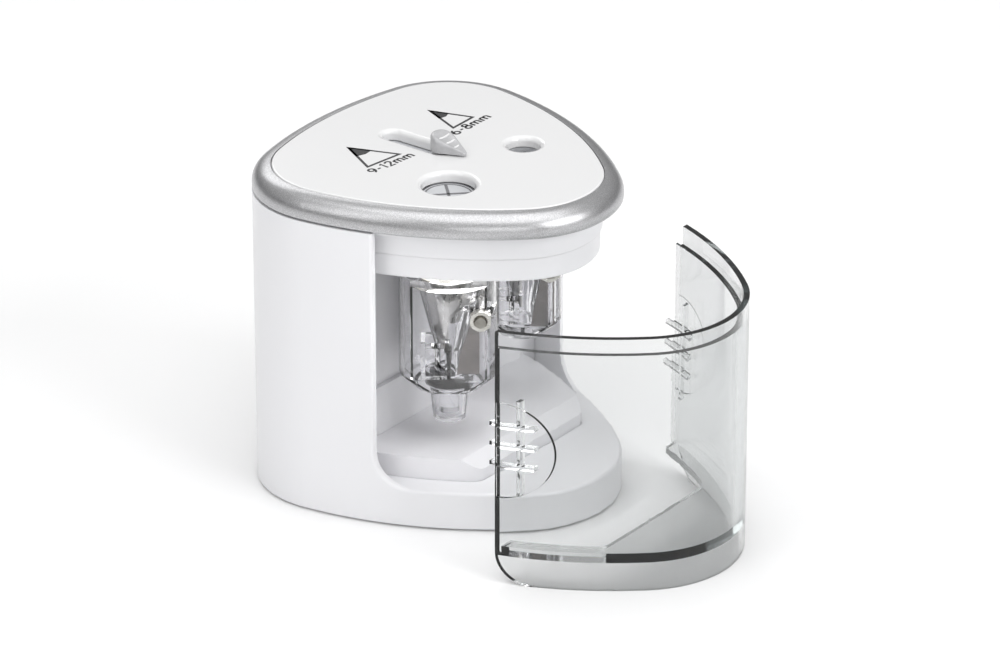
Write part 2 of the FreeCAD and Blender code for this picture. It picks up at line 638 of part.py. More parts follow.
def door_prism(name, gap, back, top):
    """A dovetail slab along Y: narrow outside, wider inside."""
    body = doc.addObject("PartDesign::Body", name)
    sketch = new_sketch(body, name + "_sketch", "XZ_Plane", height=f"door_front + ({gap})")
    margin = D.get(gap, 0.0)
    low, high = D["stand"], D[top]
    narrow = D["door_half"] + margin
    wide = narrow + D["door_flare"]
    corners = [Vector(-narrow, low, 0), Vector(narrow, low, 0), Vector(wide, high, 0), Vector(-wide, high, 0)]
    for i, corner in enumerate(corners):
        sketch.addGeometry(Part.LineSegment(corner, corners[(i + 1) % 4]), False)
    for i in range(4):
        constrain(sketch, "Coincident", i, 2, (i + 1) % 4, 1)
    constrain(sketch, "Symmetric", 0, 1, 0, 2, -2)
    constrain(sketch, "Symmetric", 2, 1, 2, 2, -2)
    constrain(sketch, "DistanceX", 0, 1, 0, 2, size=2 * narrow, expression=f"2 * (door_half + {gap})")
    constrain(sketch, "DistanceX", 2, 2, 2, 1, size=2 * wide,
              expression=f"2 * (door_half + door_flare + {gap})")
    constrain(sketch, "DistanceY", -1, 1, 0, 1, size=low, expression="stand")
    constrain(sketch, "DistanceY", -1, 1, 2, 1, size=high, expression=top)
    slab = pad(body, name + "_pad", sketch, f"door_front + ({gap}) + {back}")
    slab.Reversed = True
    return body


def make_stage():
    block = footprint("stage_block", "cover_top + 0.05", "stage_top", "0")
    start = "stage_front + stage_slope_reach"
    rise = f"({start} - stage_slope_back) * tan(stage_slope * 1 deg)"
    slope = box("stage_slope_cut", ("-reach", f"-({start})", f"stage_top - {rise}"),
                ("reach", "0", "stage_top + reach"))
    turn(slope, (1, 0, 0), D["stage_slope"])
    bay = box("stage_bay", ("-bay_half", "-bay_front", 0), ("bay_half", "bay_back", "stage_roof"))
    void = box("stage_void", ("4 - front_screw_x", "1.6 - stage_front", 0),
               ("front_screw_x - 4", "-bay_front - stage_wall", "stage_roof - 2.2"))
    keep("stage", cut("stage", block, slope, bay, void))


def make_partition():
    slab = common("partition_slab", outline_prism("partition_outline", "wall_inset", "ledge_top + 0.05",
                                                  "deck_bottom - 0.05"),
                  box("partition_block", ("-reach", "wall_front", 0), ("reach", "wall_back", "deck_bottom")))
    plinth = box("partition_plinth", ("1 - plunger_x", "plinth_front", "stage_top + 0.05"),
                 ("plunger_x - 4", "wall_back", "plinth_top"))
    boss = cylinder("plunger_boss", "plunger_radius + 1.4", "wall_front - 1", "plunger_x", 1.6, "plunger_z")
    bore = cylinder("plunger_bore", "plunger_radius + 0.06", 20, "plunger_x", -5, "plunger_z")
    for item in (boss, bore):
        turn(item, (1, 0, 0), -90)
    over_stage = outline_prism("partition_stage", "stage_inset - stage_gap", 0, "stage_top + 0.05")
    body = fuse("partition_body", slab, plinth, boss)
    keep("partition_wall", cut("partition_wall", body, over_stage, bore))


def make_cells():
    """Four cells side by side along Y, each turned end for end from its neighbour."""
    coils = []
    for number in range(4):
        way = 1 if number % 2 == 0 else -1
        x = f"cell_pitch * {number - 1.5}"
        tin = cylinder("cell_tin", "cell_radius", "cell_length", x, f"cell_middle - {way} * (cell_length / 2 + 0.6)",
                       "cell_axis")
        button = cylinder("cell_button", "button_radius", "button_length + 0.1", x,
                          f"cell_middle + {way} * (cell_length / 2 - 0.7)", "cell_axis")
        for item in (tin, button):
            turn(item, (1, 0, 0), -90 * way)
        keep(f"battery_cell_{number + 1}", fuse(f"battery_cell_{number + 1}", tin, button))
        for step in range(2):
            coil = doc.addObject("Part::Torus", "coil")
            bind(coil, {"Radius1": f"coil_radius - 0.5 * {step}", "Radius2": "coil_wire"})
            turn(coil, (1, 0, 0), 90)
            coils.append(put(coil, x, f"cell_middle - {way} * (contact_face - coil_wire - 0.02 - 0.4 * {step})",
                             "cell_axis"))
    keep("battery_springs", group("battery_springs", *coils))
    low, high = "cell_axis - 5.6", "cell_axis + 6"
    near, far = "cell_middle - contact_face", "cell_middle + contact_face"
    for name, inner, outer in (("front", f"{near} - contact_sheet", near), ("rear", far, f"{far} + contact_sheet")):
        keep(f"contact_plate_{name}", box(f"contact_plate_{name}", ("-contact_half", inner, low),
                                          ("contact_half", outer, high)))


def make_deck():
    # lower band with the floor that carries the bearings
    lower = outline_prism("lower_deck_case", "lower_deck_inset", "deck_bottom", "deck_split - 0.05",
                          [("deck_bottom", "band_round")])
    hollow = outline_prism("lower_deck_hollow", "lower_deck_inner", "deck_floor", "deck_split + 1")
    lugs, holes = [], []
    for x, y in (("rear_screw_x", "rear_screw_y"), ("-rear_screw_x", "rear_screw_y")):
        lugs.append(cylinder("lug", "post_radius", "deck_floor - deck_bottom", x, y, "deck_bottom"))
        holes.append(cylinder("lug_hole", "pilot_radius", 4, x, y, "deck_bottom - 1"))
        holes.append(cylinder("lug_room", "head_radius + 0.3", "deck_split", x, y, "deck_floor"))
    holes.append(cylinder("large_bush_hole", "large_hub + bush_play + bush_wall", 4, "-hole_x", "-hole_y",
                          "deck_bottom - 1"))
    holes.append(cylinder("small_bush_hole", "small_hub + bush_play + bush_wall", 4, "hole_x", "-hole_y",
                          "deck_bottom - 1"))
    holes.append(cylinder("motor_boss_hole", "boss_radius + 0.2", 4, 0, MOTOR_Y, "deck_bottom - 1"))
    holes.append(cylinder("axle_hole", "axle_radius", 4, 0, DRIVE_Y, "deck_bottom + 0.6"))
    for side in ("", "-"):
        holes.append(cylinder("cradle_hole", "pilot_radius", 4, f"{side}cradle_post_x", MOTOR_Y,
                              "deck_bottom - 1"))
    for x, y, direction in SEAM_CUTS:
        for side in (1, -1):
            seam = box("seam", ("-1.6", "-0.15", "deck_bottom - 1"), ("1.1", "0.15", "deck_split + 1"))
            turn(seam, (0, 0, 1), 90 + side * (direction + 90))
            holes.append(put(seam, side * -x, y, "deck_bottom - 1"))
    keep("deck_lower", cut("deck_lower", fuse("lower_deck_body", lower, *lugs), hollow, *holes))

    # upper band with the flange that carries the ring and the step for the gear cover
    band = outline_prism("upper_deck_case", "deck_inset", "deck_split", "flange_bottom + 0.1",
                         [("deck_split", "band_round")])
    flange = outline_prism("upper_deck_flange", "flange_inset", "flange_bottom", "ring_bottom - 0.05")
    well = outline_prism("upper_deck_well", "deck_inner", "deck_split - 1", "flange_bottom - 1")
    step = outline_prism("upper_deck_step", "cover_step_inset", "flange_bottom - 2", "gear_cover_low + 1")
    seat = outline_prism("upper_deck_seat", "deck_inner", "gear_cover_low - 0.05", "ring_bottom + 1")
    keep("deck_upper", cut("deck_upper", fuse("upper_deck_body", band, flange), well, step, seat))

    plate = outline_prism("gear_cover_plate", "cover_plate_inset", "gear_cover_low", "gear_cover_high")
    collars, passages = [], []
    for name, x, bore in (("large", "-hole_x", "large_bore"), ("small", "hole_x", "small_bore")):
        collars.append(cylinder(name + "_collar", f"{bore} + collar_wall", "collar_top - collar_bottom", x,
                                "-hole_y", "collar_bottom"))
        passages.append(cylinder(name + "_passage", bore, 12, x, "-hole_y", "collar_bottom - 1"))
    passages.append(cylinder("axle_seat", "axle_radius", 6, 0, DRIVE_Y, "gear_cover_low - 3"))
    keep("gear_cover", cut("gear_cover", fuse("gear_cover_body", plate, *collars), *passages))

    keep("drive_axle", cylinder("drive_axle", "axle_radius", "gear_cover_high - deck_bottom - 0.7", 0, DRIVE_Y,
                                "deck_bottom + 0.6"))
    for name, x in (("large", "-hole_x"), ("small", "hole_x")):
        sleeve = cylinder(name + "_sleeve", f"{name}_hub + bush_play + bush_wall", "bush_top - deck_bottom + 0.1",
                          x, "-hole_y", "deck_bottom - 0.1")
        bore = cylinder(name + "_sleeve_bore", f"{name}_hub + bush_play", 6, x, "-hole_y", "deck_bottom - 1")
        keep(f"{name}_bush", cut(f"{name}_bush", sleeve, bore))
    screws = [fuse("deck_screw", cylinder("deck_screw_head", "head_radius", "head_height", x, y, "deck_floor"),
                   cylinder("deck_screw_shank", "screw_radius", 10, x, y, "deck_floor - 9.9"))
              for x, y in (("rear_screw_x", "rear_screw_y"), ("-rear_screw_x", "rear_screw_y"))]
    keep("deck_screws", group("deck_screws", *screws))


def make_top():
    ring = outline_prism("ring_case", "flush", "ring_bottom", "ring_top",
                         [("ring_top", "ring_round"), ("ring_bottom", "ring_lower_round")])
    well = outline_prism("ring_well", "ring_inner_inset", "ring_bottom - 1", "ring_top + 1")
    seat = outline_prism("ring_seat", "plate_seat_inset", "plate_bottom - 0.05", "ring_top + 1")
    keep("silver_ring", cut("silver_ring", ring, well, seat))

    plate = outline_prism("plate_case", "plate_inset", "plate_bottom", "plate_top", [("plate_top", "plate_round")])
    holes = [cylinder("large_opening", "large_hole", 6, "-hole_x", "-hole_y", "plate_bottom - 2"),
             cylinder("small_opening", "small_hole", 6, "hole_x", "-hole_y", "plate_bottom - 2"),
             cylinder("slot_front_end", "slot_half", 6, 0, "slot_front", "plate_bottom - 2"),
             cylinder("slot_back_end", "slot_half", 6, 0, "slot_back", "plate_bottom - 2"),
             box("slot_middle", ("-slot_half", "slot_front", "plate_bottom - 2"),
                 ("slot_half", "slot_back", "plate_bottom + 4"))]
    tall = "plate_bottom - skirt_bottom + 0.5"
    low = "skirt_bottom"
    skirts = [cylinder("large_skirt", "large_hole + skirt_wall", tall, "-hole_x", "-hole_y", low),
              cylinder("small_skirt", "small_hole + skirt_wall", tall, "hole_x", "-hole_y", low),
              cylinder("slot_skirt_front", "slot_half + skirt_wall", tall, 0, "slot_front", low),
              cylinder("slot_skirt_back", "slot_half + skirt_wall", tall, 0, "slot_back", low),
              box("slot_skirt_middle", ("-slot_half - skirt_wall", "slot_front", low),
                  ("slot_half + skirt_wall", "slot_back", f"{low} + {tall}"))]
    drilled = cut("plate_drilled", fuse("plate_with_skirts", plate, *skirts), *holes)
    top = at_height(D["plate_top"])
    reach = D["slot_back"] + D["slot_half"]

    def rim(edge):
        box_of = edge.BoundBox
        return top(edge) and box_of.XMax - box_of.XMin < 2 * D["large_hole"] + 0.1 and box_of.YMax < reach + 0.1

    keep("top_plate", round_edges("top_plate", drilled, D["hole_round"], rim))


RIDGE_STEPS = (3.4, 5.6, 7.8)   # up the knob's sloping face, from its tip


def make_selector():
    low, high = "shutter_low", "shutter_high"
    thick = "shutter_high - shutter_low"
    plate = fuse("shutter_blank",
                 cylinder("large_disc", "large_bore", thick, "-hole_x", "-hole_y", low),
                 box("large_arm", ("-hole_x + 2", "-8.5", low), ("spine_half", "-2", high)),
                 box("shutter_spine", ("-spine_half", "-hole_y - travel + 1", low),
                     ("spine_half", "spine_back", high)),
                 box("small_arm", ("0", "-hole_y - travel - 3", low),
                     ("hole_x", "-hole_y - travel + 3", high)),
                 cylinder("small_disc", "small_bore + 0.1", thick, "hole_x", "-hole_y - travel", low),
                 cylinder("ring_disc", "small_bore + ring_wall", thick, "hole_x", "-hole_y", low),
                 box("ring_bridge", ("hole_x - ring_arm", "-hole_y - travel", low),
                     ("hole_x + ring_arm", "-hole_y", high)))
    passage = cylinder("ring_passage", "small_bore + 0.1", "2 * reach", "hole_x", "-hole_y")
    keep("shutter_plate", cut("shutter_plate", plate, passage))
    stem = cylinder("knob_stem", "stem_radius", "knob_low - shutter_high + 0.3", 0, "stem_y", high)
    body = doc.addObject("PartDesign::Body", "knob_head")
    sketch = new_sketch(body, "knob_outline", height="knob_low")
    back = Vector(0, D["knob_back"], 0)
    tip_radius = D["tip_round"]
    tip = Vector(0, tip_radius - D["knob_tip"], 0)
    lean = math.asin((D["knob_half"] - tip_radius) / (back.y - tip.y))
    side = Vector(math.cos(lean), -math.sin(lean), 0)
    other = Vector(-side.x, side.y, 0)
    corners = [tip + other * tip_radius, tip + side * tip_radius, back + side * D["knob_half"],
               back + other * D["knob_half"]]
    sketch.addGeometry([arc_between(tip, tip_radius, corners[0], corners[1]),
                        Part.LineSegment(corners[1], corners[2]),
                        arc_between(back, D["knob_half"], corners[2], corners[3]),
                        Part.LineSegment(corners[3], corners[0])], False)
    for i in range(4):
        constrain(sketch, "Tangent", i, 2, (i + 1) % 4, 1)
    constrain(sketch, "PointOnObject", 0, 3, -2)
    constrain(sketch, "PointOnObject", 2, 3, -2)
    constrain(sketch, "Radius", 0, size=tip_radius, expression="tip_round")
    constrain(sketch, "Radius", 2, size=D["knob_half"], expression="knob_half")
    constrain(sketch, "DistanceY", -1, 1, 2, 3, size=D["knob_back"], expression="knob_back")
    constrain(sketch, "DistanceY", 0, 3, -1, 1, size=-tip.y, expression="knob_tip - tip_round")
    pad(body, "knob_pad", sketch, "knob_high - knob_low")
    slope = box("knob_slope_cut", ("-reach", "-knob_tip", "knob_nose"),
                ("reach", "reach", "knob_nose + reach"))
    turn(slope, (1, 0, 0), D["knob_slope"])
    wedge = cut("knob_wedge", body, slope)
    lowest = D["knob_nose"] - 0.1

    def upper(edge):
        return all(v.Z > lowest for v in edge.Vertexes) and edge.BoundBox.XLength > 0.1

    rounded = round_edges("knob_rounded", wedge, D["knob_round"], upper)
    ridges = []
    for step in RIDGE_STEPS:
        along = f"{step} * cos(knob_slope * 1 deg) - knob_tip"
        above = f"knob_nose + {step} * sin(knob_slope * 1 deg)"
        ridge = box("knob_ridge", ("-ridge_half", along, f"{above} - 0.4"),
                    ("ridge_half", f"{along} + ridge_wide", f"{above} + ridge_high"))
        ridges.append(turn(ridge, (1, 0, 0), D["knob_slope"]))
    keep("selector_knob", fuse("selector_knob", rounded, stem, *ridges))


# ---------------------------------------------------------------- cutters and drive

BOLT = {"large": ("8.3", "55.8"), "small": ("7.0", "57.5")}   # across and height, seen from the flat


def facing(item, name):
    """Turns a piece built with its flat towards +X so that it faces the front left."""
    frame = doc.addObject("Part::Compound", name)
    frame.Links = [item]
    turn(frame, (0, 0, 1), BLADE_BEARING)
    return put(frame, SPINDLE_X[name.split("_")[0]], "-hole_y")


SPINDLE_X = {"large": "-hole_x", "small": "hole_x"}


def make_cutter(size, phase):
    """One cutter: gear and hub, clear holder, steel cone, blade with its screw and nut."""
    x = SPINDLE_X[size]
    teeth = gear_blank(f"{size}_gear_blank", "cutter_teeth", "cutter_gear_low", "cutter_gear_high", x, "-hole_y",
                       phase)
    hub = cylinder(f"{size}_hub_body", f"{size}_hub", "cutter_gear_low - holder_top + 0.5", x, "-hole_y",
                   "holder_top")
    bore = cylinder(f"{size}_gear_bore", f"{size}_bore", 12, x, "-hole_y", "holder_top - 1")
    keep(f"{size}_cutter_gear", cut(f"{size}_cutter_gear", fuse(f"{size}_gear_body", teeth, hub), bore))

    bottom, radius = f"{size}_holder_bottom", f"{size}_holder"
    knee = f"{bottom} + holder_bevel"
    block = fuse(f"{size}_block",
                 cylinder(f"{size}_block_upper", radius, f"holder_top - ({knee})", z=knee),
                 cone(f"{size}_block_lower", f"{radius} - holder_bevel", radius, "holder_bevel", z=bottom))
    flat = box(f"{size}_flat_cut", (f"{size}_flat", "-reach", f"{bottom} - 1"),
               ("reach", "reach", "holder_top - 4"))
    cone_low = f"{size}_cone_bottom"
    well = cylinder(f"{size}_well", f"{size}_cone", "holder_top - cone_top + 1", z="cone_top - 0.01")
    funnel = cone(f"{size}_funnel", "tip_radius", f"{size}_cone", f"cone_top - {cone_low}", z=cone_low)
    throat = cylinder(f"{size}_throat", "tip_radius", f"{cone_low} - {bottom} - foot_tall",
                      z=f"{bottom} + foot_tall")
    port = box(f"{size}_port", ("port_side", "-tip_radius - port_reach", f"{bottom} + port_low"),
               ("reach", "-port_back", f"{cone_low} + port_rise"))
    slit = box(f"{size}_slit", (f"{size}_flat - slit_inner", "slit_start", f"{bottom} + 2"),
               (f"{size}_flat - slit_outer", f"{size}_flat + 0.2", f"{cone_low} + slit_rise"))
    hole = turn(cylinder(f"{size}_bolt_hole", "bolt_radius + 0.05", "2 * reach"), (0, 1, 0), 90)
    across, height = BOLT[size]
    put(hole, "-reach", across, height)
    seat = box(f"{size}_head_seat", ("-reach", f"{across} - seat_half", f"{height} - seat_half"),
               (f"-{size}_flat + seat_deep", f"{across} + seat_half", f"{height} + seat_half"))
    cavity = holder_cavity(size, bottom, radius, cone_low)
    holder = cut(f"{size}_holder_body", block, flat, well, funnel, throat, port, slit, hole, seat, cavity)
    keep(f"{size}_cutter_holder", facing(holder, f"{size}_holder_placed"))

    liner = cut(f"{size}_cone_body",
                cone(f"{size}_liner", "tip_radius - 0.02", f"{size}_cone - 0.02", f"cone_top - {cone_low}",
                     z=cone_low),
                cone(f"{size}_liner_bore", "tip_radius - cone_wall", f"{size}_cone - cone_wall",
                     f"cone_top - {cone_low} + 0.02", z=f"{cone_low} - 0.01"))
    mouth = box(f"{size}_mouth", ("-reach", "-0.2", 0), ("reach", "reach", f"{cone_low} + 9"))
    keep(f"{size}_cutter_cone",
         facing(cut(f"{size}_cone_cut", liner, common(f"{size}_mouth_cut", mouth, throat_of(size))),
                f"{size}_cone_placed"))

    keep(f"{size}_blade", facing(blade(size), f"{size}_blade_placed"))
    nut_start = f"{size}_flat + 0.05"
    nut = doc.addObject("Part::Prism", f"{size}_nut_prism")
    nut.Polygon = 6
    bind(nut, {"Circumradius": "nut_flats / sqrt(3)", "Height": "nut_height"})
    turn(nut, (0, 1, 0), 90)
    put(nut, nut_start, across, height)
    nut_bore = turn(cylinder(f"{size}_nut_bore", "bolt_radius", 40), (0, 1, 0), 90)
    put(nut_bore, 0, across, height)
    keep(f"{size}_blade_nut", facing(cut(f"{size}_nut_body", nut, nut_bore), f"{size}_nut_placed"))
    shank = turn(cylinder(f"{size}_bolt_shank", "bolt_radius", f"2 * {size}_flat + 2.6"), (0, 1, 0), 90)
    put(shank, f"-{size}_flat + 0.9", across, height)
    head = turn(cylinder(f"{size}_bolt_cap", "bolt_head", 1.5), (0, 1, 0), 90)
    put(head, f"-{size}_flat - 0.1", across, height)
    keep(f"{size}_blade_screw", facing(fuse(f"{size}_bolt_body", shank, head), f"{size}_bolt_placed"))


def holder_cavity(size, bottom, radius, cone_low):
    """The hollow between a holder's outer wall and the sleeves inside it, open underneath."""
    wide, knee = f"{radius} - holder_wall", f"{bottom} + holder_bevel"
    hollow = fuse(f"{size}_hollow",
                  cylinder(f"{size}_hollow_upper", wide, f"holder_top - holder_roof - ({knee})", z=knee),
                  cone(f"{size}_hollow_lower", f"{wide} - holder_bevel", wide, "holder_bevel", z=bottom),
                  cylinder(f"{size}_hollow_mouth", f"{wide} - holder_bevel", 1.5, z=f"{bottom} - 1"))
    beyond = box(f"{size}_hollow_end", (f"{size}_flat - holder_wall", "-reach", f"{bottom} - 2"),
                 ("reach", "reach", "holder_top"))
    across, height = BOLT[size]
    boss = turn(cylinder(f"{size}_bolt_boss", "bolt_radius + sleeve_wall", "2 * reach"), (0, 1, 0), 90)
    put(boss, "-reach", across, height)
    wider, seat = "sleeve_wall", "seat_half + sleeve_wall"
    sleeves = [
        cone(f"{size}_sleeve_cone", f"tip_radius + {wider}", f"{size}_cone + {wider}",
             f"cone_top - {cone_low}", z=cone_low),
        cylinder(f"{size}_sleeve_top", f"{size}_cone + {wider}", "holder_top - cone_top", z="cone_top"),
        cylinder(f"{size}_sleeve_throat", f"tip_radius + {wider}", f"{cone_low} - {bottom} + 1",
                 z=f"{bottom} - 1"),
        cylinder(f"{size}_foot", f"cup_radius + {wider}", "foot_tall + 1", z=f"{bottom} - 1"),
        box(f"{size}_pocket", (f"{size}_flat - slit_inner - {wider}", f"slit_start - {wider}", bottom),
            (f"{size}_flat - slit_outer + {wider}", "reach", f"{cone_low} + slit_rise + {wider}")),
        box(f"{size}_frame",
            (f"port_side - {wider}", f"-tip_radius - port_reach - {wider}", f"{bottom} + port_low - {wider}"),
            ("reach", f"{wider} - port_back", f"{cone_low} + port_rise + {wider}")),
        box(f"{size}_seat_wall", ("-reach", f"{across} - ({seat})", f"{height} - ({seat})"),
            (f"-{size}_flat + seat_deep + {wider}", f"{across} + {seat}", f"{height} + {seat}")),
        box(f"{size}_rib_back", ("-reach", "-rib_sheet / 2", bottom), ("0", "rib_sheet / 2", "holder_top")),
        box(f"{size}_rib_side", ("-rib_sheet / 2", "-reach", bottom),
            ("rib_sheet / 2", "reach", "holder_top")),
        boss]
    for number, solid in enumerate([beyond] + sleeves):
        hollow = cut(f"{size}_cavity_{number}", hollow, solid)
    return hollow


def throat_of(size):
    """The quarter of the cone that is open towards the blade."""
    cone_low = f"{size}_cone_bottom"
    return cone(f"{size}_opening", "tip_radius + 0.1", f"{size}_cone + 0.1", f"cone_top - {cone_low}", z=cone_low)


def blade(size):
    """A ground steel plate beside the cone, in the holder's slit."""
    body = doc.addObject("PartDesign::Body", f"{size}_blade_body")
    sketch = new_sketch(body, f"{size}_blade_outline", "YZ_Plane", height=f"{size}_flat - 4.4")
    low = D[f"{size}_cone_bottom"]
    slant = (D[f"{size}_cone"] - D["tip_radius"]) / (D["cone_top"] - low)
    edge = D["tip_radius"] - 0.7
    wide = D[f"{size}_flat"] - 0.6
    corners = [Vector(edge + 0.2, low - 5.6, 0), Vector(wide, low - 5.6, 0), Vector(wide, low + 7.2, 0),
               Vector(edge + 1.6 + slant * 9, low + 9.0, 0), Vector(edge + 0.9, low - 0.4, 0)]
    for i, corner in enumerate(corners):
        sketch.addGeometry(Part.LineSegment(corner, corners[(i + 1) % len(corners)]), False)
    for i in range(len(corners)):
        constrain(sketch, "Coincident", i, 2, (i + 1) % len(corners), 1)
    pad(body, f"{size}_blade_pad", sketch, "blade_sheet")
    return body


def make_cup():
    bottom = "large_holder_bottom"
    outer = cone("cup_outer", "cup_end", "cup_radius", "cup_height", z=f"{bottom} - cup_height")
    inner = cone("cup_inner", "cup_end - cup_wall", "cup_radius - cup_wall", "cup_height - 3",
                 z=f"{bottom} - cup_height + 1.2")
    pin = cylinder("cup_pin_body", "cup_pin", "cup_height - 2", z=f"{bottom} - cup_height + 2")
    solid = fuse("cup_solid", cut("cup_shell", outer, inner), pin)
    keep("large_end_cup", put(solid, "-hole_x", "-hole_y"))


def make_drive(pinion_phase, wheel_phase, motor_phase):
    lower = gear_blank("drive_pinion", "drive_pinion_teeth", "drive_low", "cutter_gear_high + 0.4", 0, DRIVE_Y,
                       pinion_phase)
    upper = gear_blank("drive_wheel", "drive_wheel_teeth", "drive_wheel_low", "drive_high", 0, DRIVE_Y, wheel_phase)
    hub = cylinder("drive_hub_body", "drive_hub", "drive_wheel_low - cutter_gear_high", 0, DRIVE_Y,
                   "cutter_gear_high")
    bore = cylinder("drive_bore", "axle_radius + axle_play", 20, 0, DRIVE_Y, "drive_low - 1")
    keep("drive_gear", cut("drive_gear", fuse("drive_gear_body", lower, upper, hub), bore))
    pinion = gear_blank("motor_pinion_blank", "motor_teeth", "drive_wheel_low - 0.2", "drive_high + 0.2", 0, MOTOR_Y,
                        motor_phase)
    pinion_bore = cylinder("motor_pinion_bore", "shaft_radius", 20, 0, MOTOR_Y, "drive_wheel_low - 2")
    keep("motor_pinion", cut("motor_pinion", pinion, pinion_bore))


def motor_section(name, grow, low, high):
    """The motor's section: a round can with two flat sides."""
    return common(name, cylinder(name + "_round", f"motor_radius + ({grow})", f"({high}) - ({low})", 0, MOTOR_Y, low),
                  box(name + "_flats", ("-motor_radius - 2", f"{MOTOR_Y} - motor_flat - ({grow})", low),
                      ("motor_radius + 2", f"{MOTOR_Y} + motor_flat + ({grow})", high)))


def make_motor():
    can = fuse("can_body", motor_section("can_outer", "0", "motor_low", "motor_high"),
               cylinder("can_boss", "boss_radius", "deck_bottom - motor_high", 0, MOTOR_Y, "motor_high - 0.1"))
    room = cylinder("can_room", "motor_flat - motor_wall", "motor_high - motor_low", 0, MOTOR_Y,
                    "motor_low - motor_wall")
    bearing = cylinder("can_bearing", "shaft_radius + axle_play", 50, 0, MOTOR_Y, "motor_low")
    keep("motor_can", cut("motor_can", can, room, bearing))
    cap = motor_section("cap_outer", "-0.4", "motor_cap_low", "motor_low")
    cap_bore = cylinder("cap_bore", "shaft_radius + axle_play", 20, 0, MOTOR_Y, "motor_cap_low - 1")
    keep("motor_end_cap", cut("motor_end_cap", cap, cap_bore))
    terminals = both_sides(lambda side: box("terminal", (f"{side} * 6 - 1.4", f"{MOTOR_Y} + 3", "motor_cap_low - 4"),
                                            (f"{side} * 6 + 1.4", f"{MOTOR_Y} + 3.5", "motor_cap_low - 0.02")))
    keep("motor_terminals", group("motor_terminals", *terminals))
    keep("motor_shaft", cylinder("motor_shaft", "shaft_radius", "drive_high + 0.4 - motor_cap_low - 0.4", 0, MOTOR_Y,
                                 "motor_cap_low + 0.4"))
    core = fuse("armature_core",
                cylinder("armature_stack", "armature_radius", "motor_high - motor_low - 10", 0, MOTOR_Y,
                         "motor_low + 6"),
                cylinder("commutator", "commutator_radius", "6", 0, MOTOR_Y, "motor_low + 0.6"))
    keep("motor_armature", cut("motor_armature", core,
                               cylinder("armature_bore", "shaft_radius", 60, 0, MOTOR_Y, "motor_low - 5")))
    posts = [cylinder("cradle_post", "post_radius + 0.2", "deck_bottom - cradle_low - 0.05",
                      f"{side}cradle_post_x", MOTOR_Y, "cradle_low") for side in ("", "-")]
    strap = box("cradle_strap", ("-cradle_post_x", f"{MOTOR_Y} - motor_flat - 1.6", "cradle_low"),
                ("cradle_post_x", f"{MOTOR_Y} + motor_flat + 1.6", "cradle_high"))
    pilots = [cylinder("cradle_pilot", "pilot_radius", 12, f"{side}cradle_post_x", MOTOR_Y, "deck_bottom - 11.5")
              for side in ("", "-")]
    keep("motor_cradle", cut("motor_cradle", fuse("cradle_body", strap, *posts),
                             motor_section("cradle_room", "0.1", "cradle_low - 1", "deck_bottom"), *pilots))
    screws = [fuse("cradle_screw",
                   cylinder("cradle_screw_head", "head_radius", "head_height", f"{side}cradle_post_x", MOTOR_Y,
                            "deck_floor"),
                   cylinder("cradle_screw_shank", "screw_radius", 10, f"{side}cradle_post_x", MOTOR_Y,
                            "deck_floor - 9.9")) for side in ("", "-")]
    keep("motor_screws", group("motor_screws", *screws))


def make_interlock():
    rod = turn(cylinder("plunger_rod", "plunger_radius", "plunger_end + plunger_tip"), (1, 0, 0), -90)
    put(rod, "plunger_x", "-plunger_tip", "plunger_z")
    keep("interlock_plunger", rod)
    keep("interlock_switch", box("interlock_switch", ("plunger_x - 5", "plunger_end + 2.2", "plunger_z - 7"),
                                 ("plunger_x + 3", "plunger_end + 8", "plunger_z + 7")))


# ---------------------------------------------------------------- container

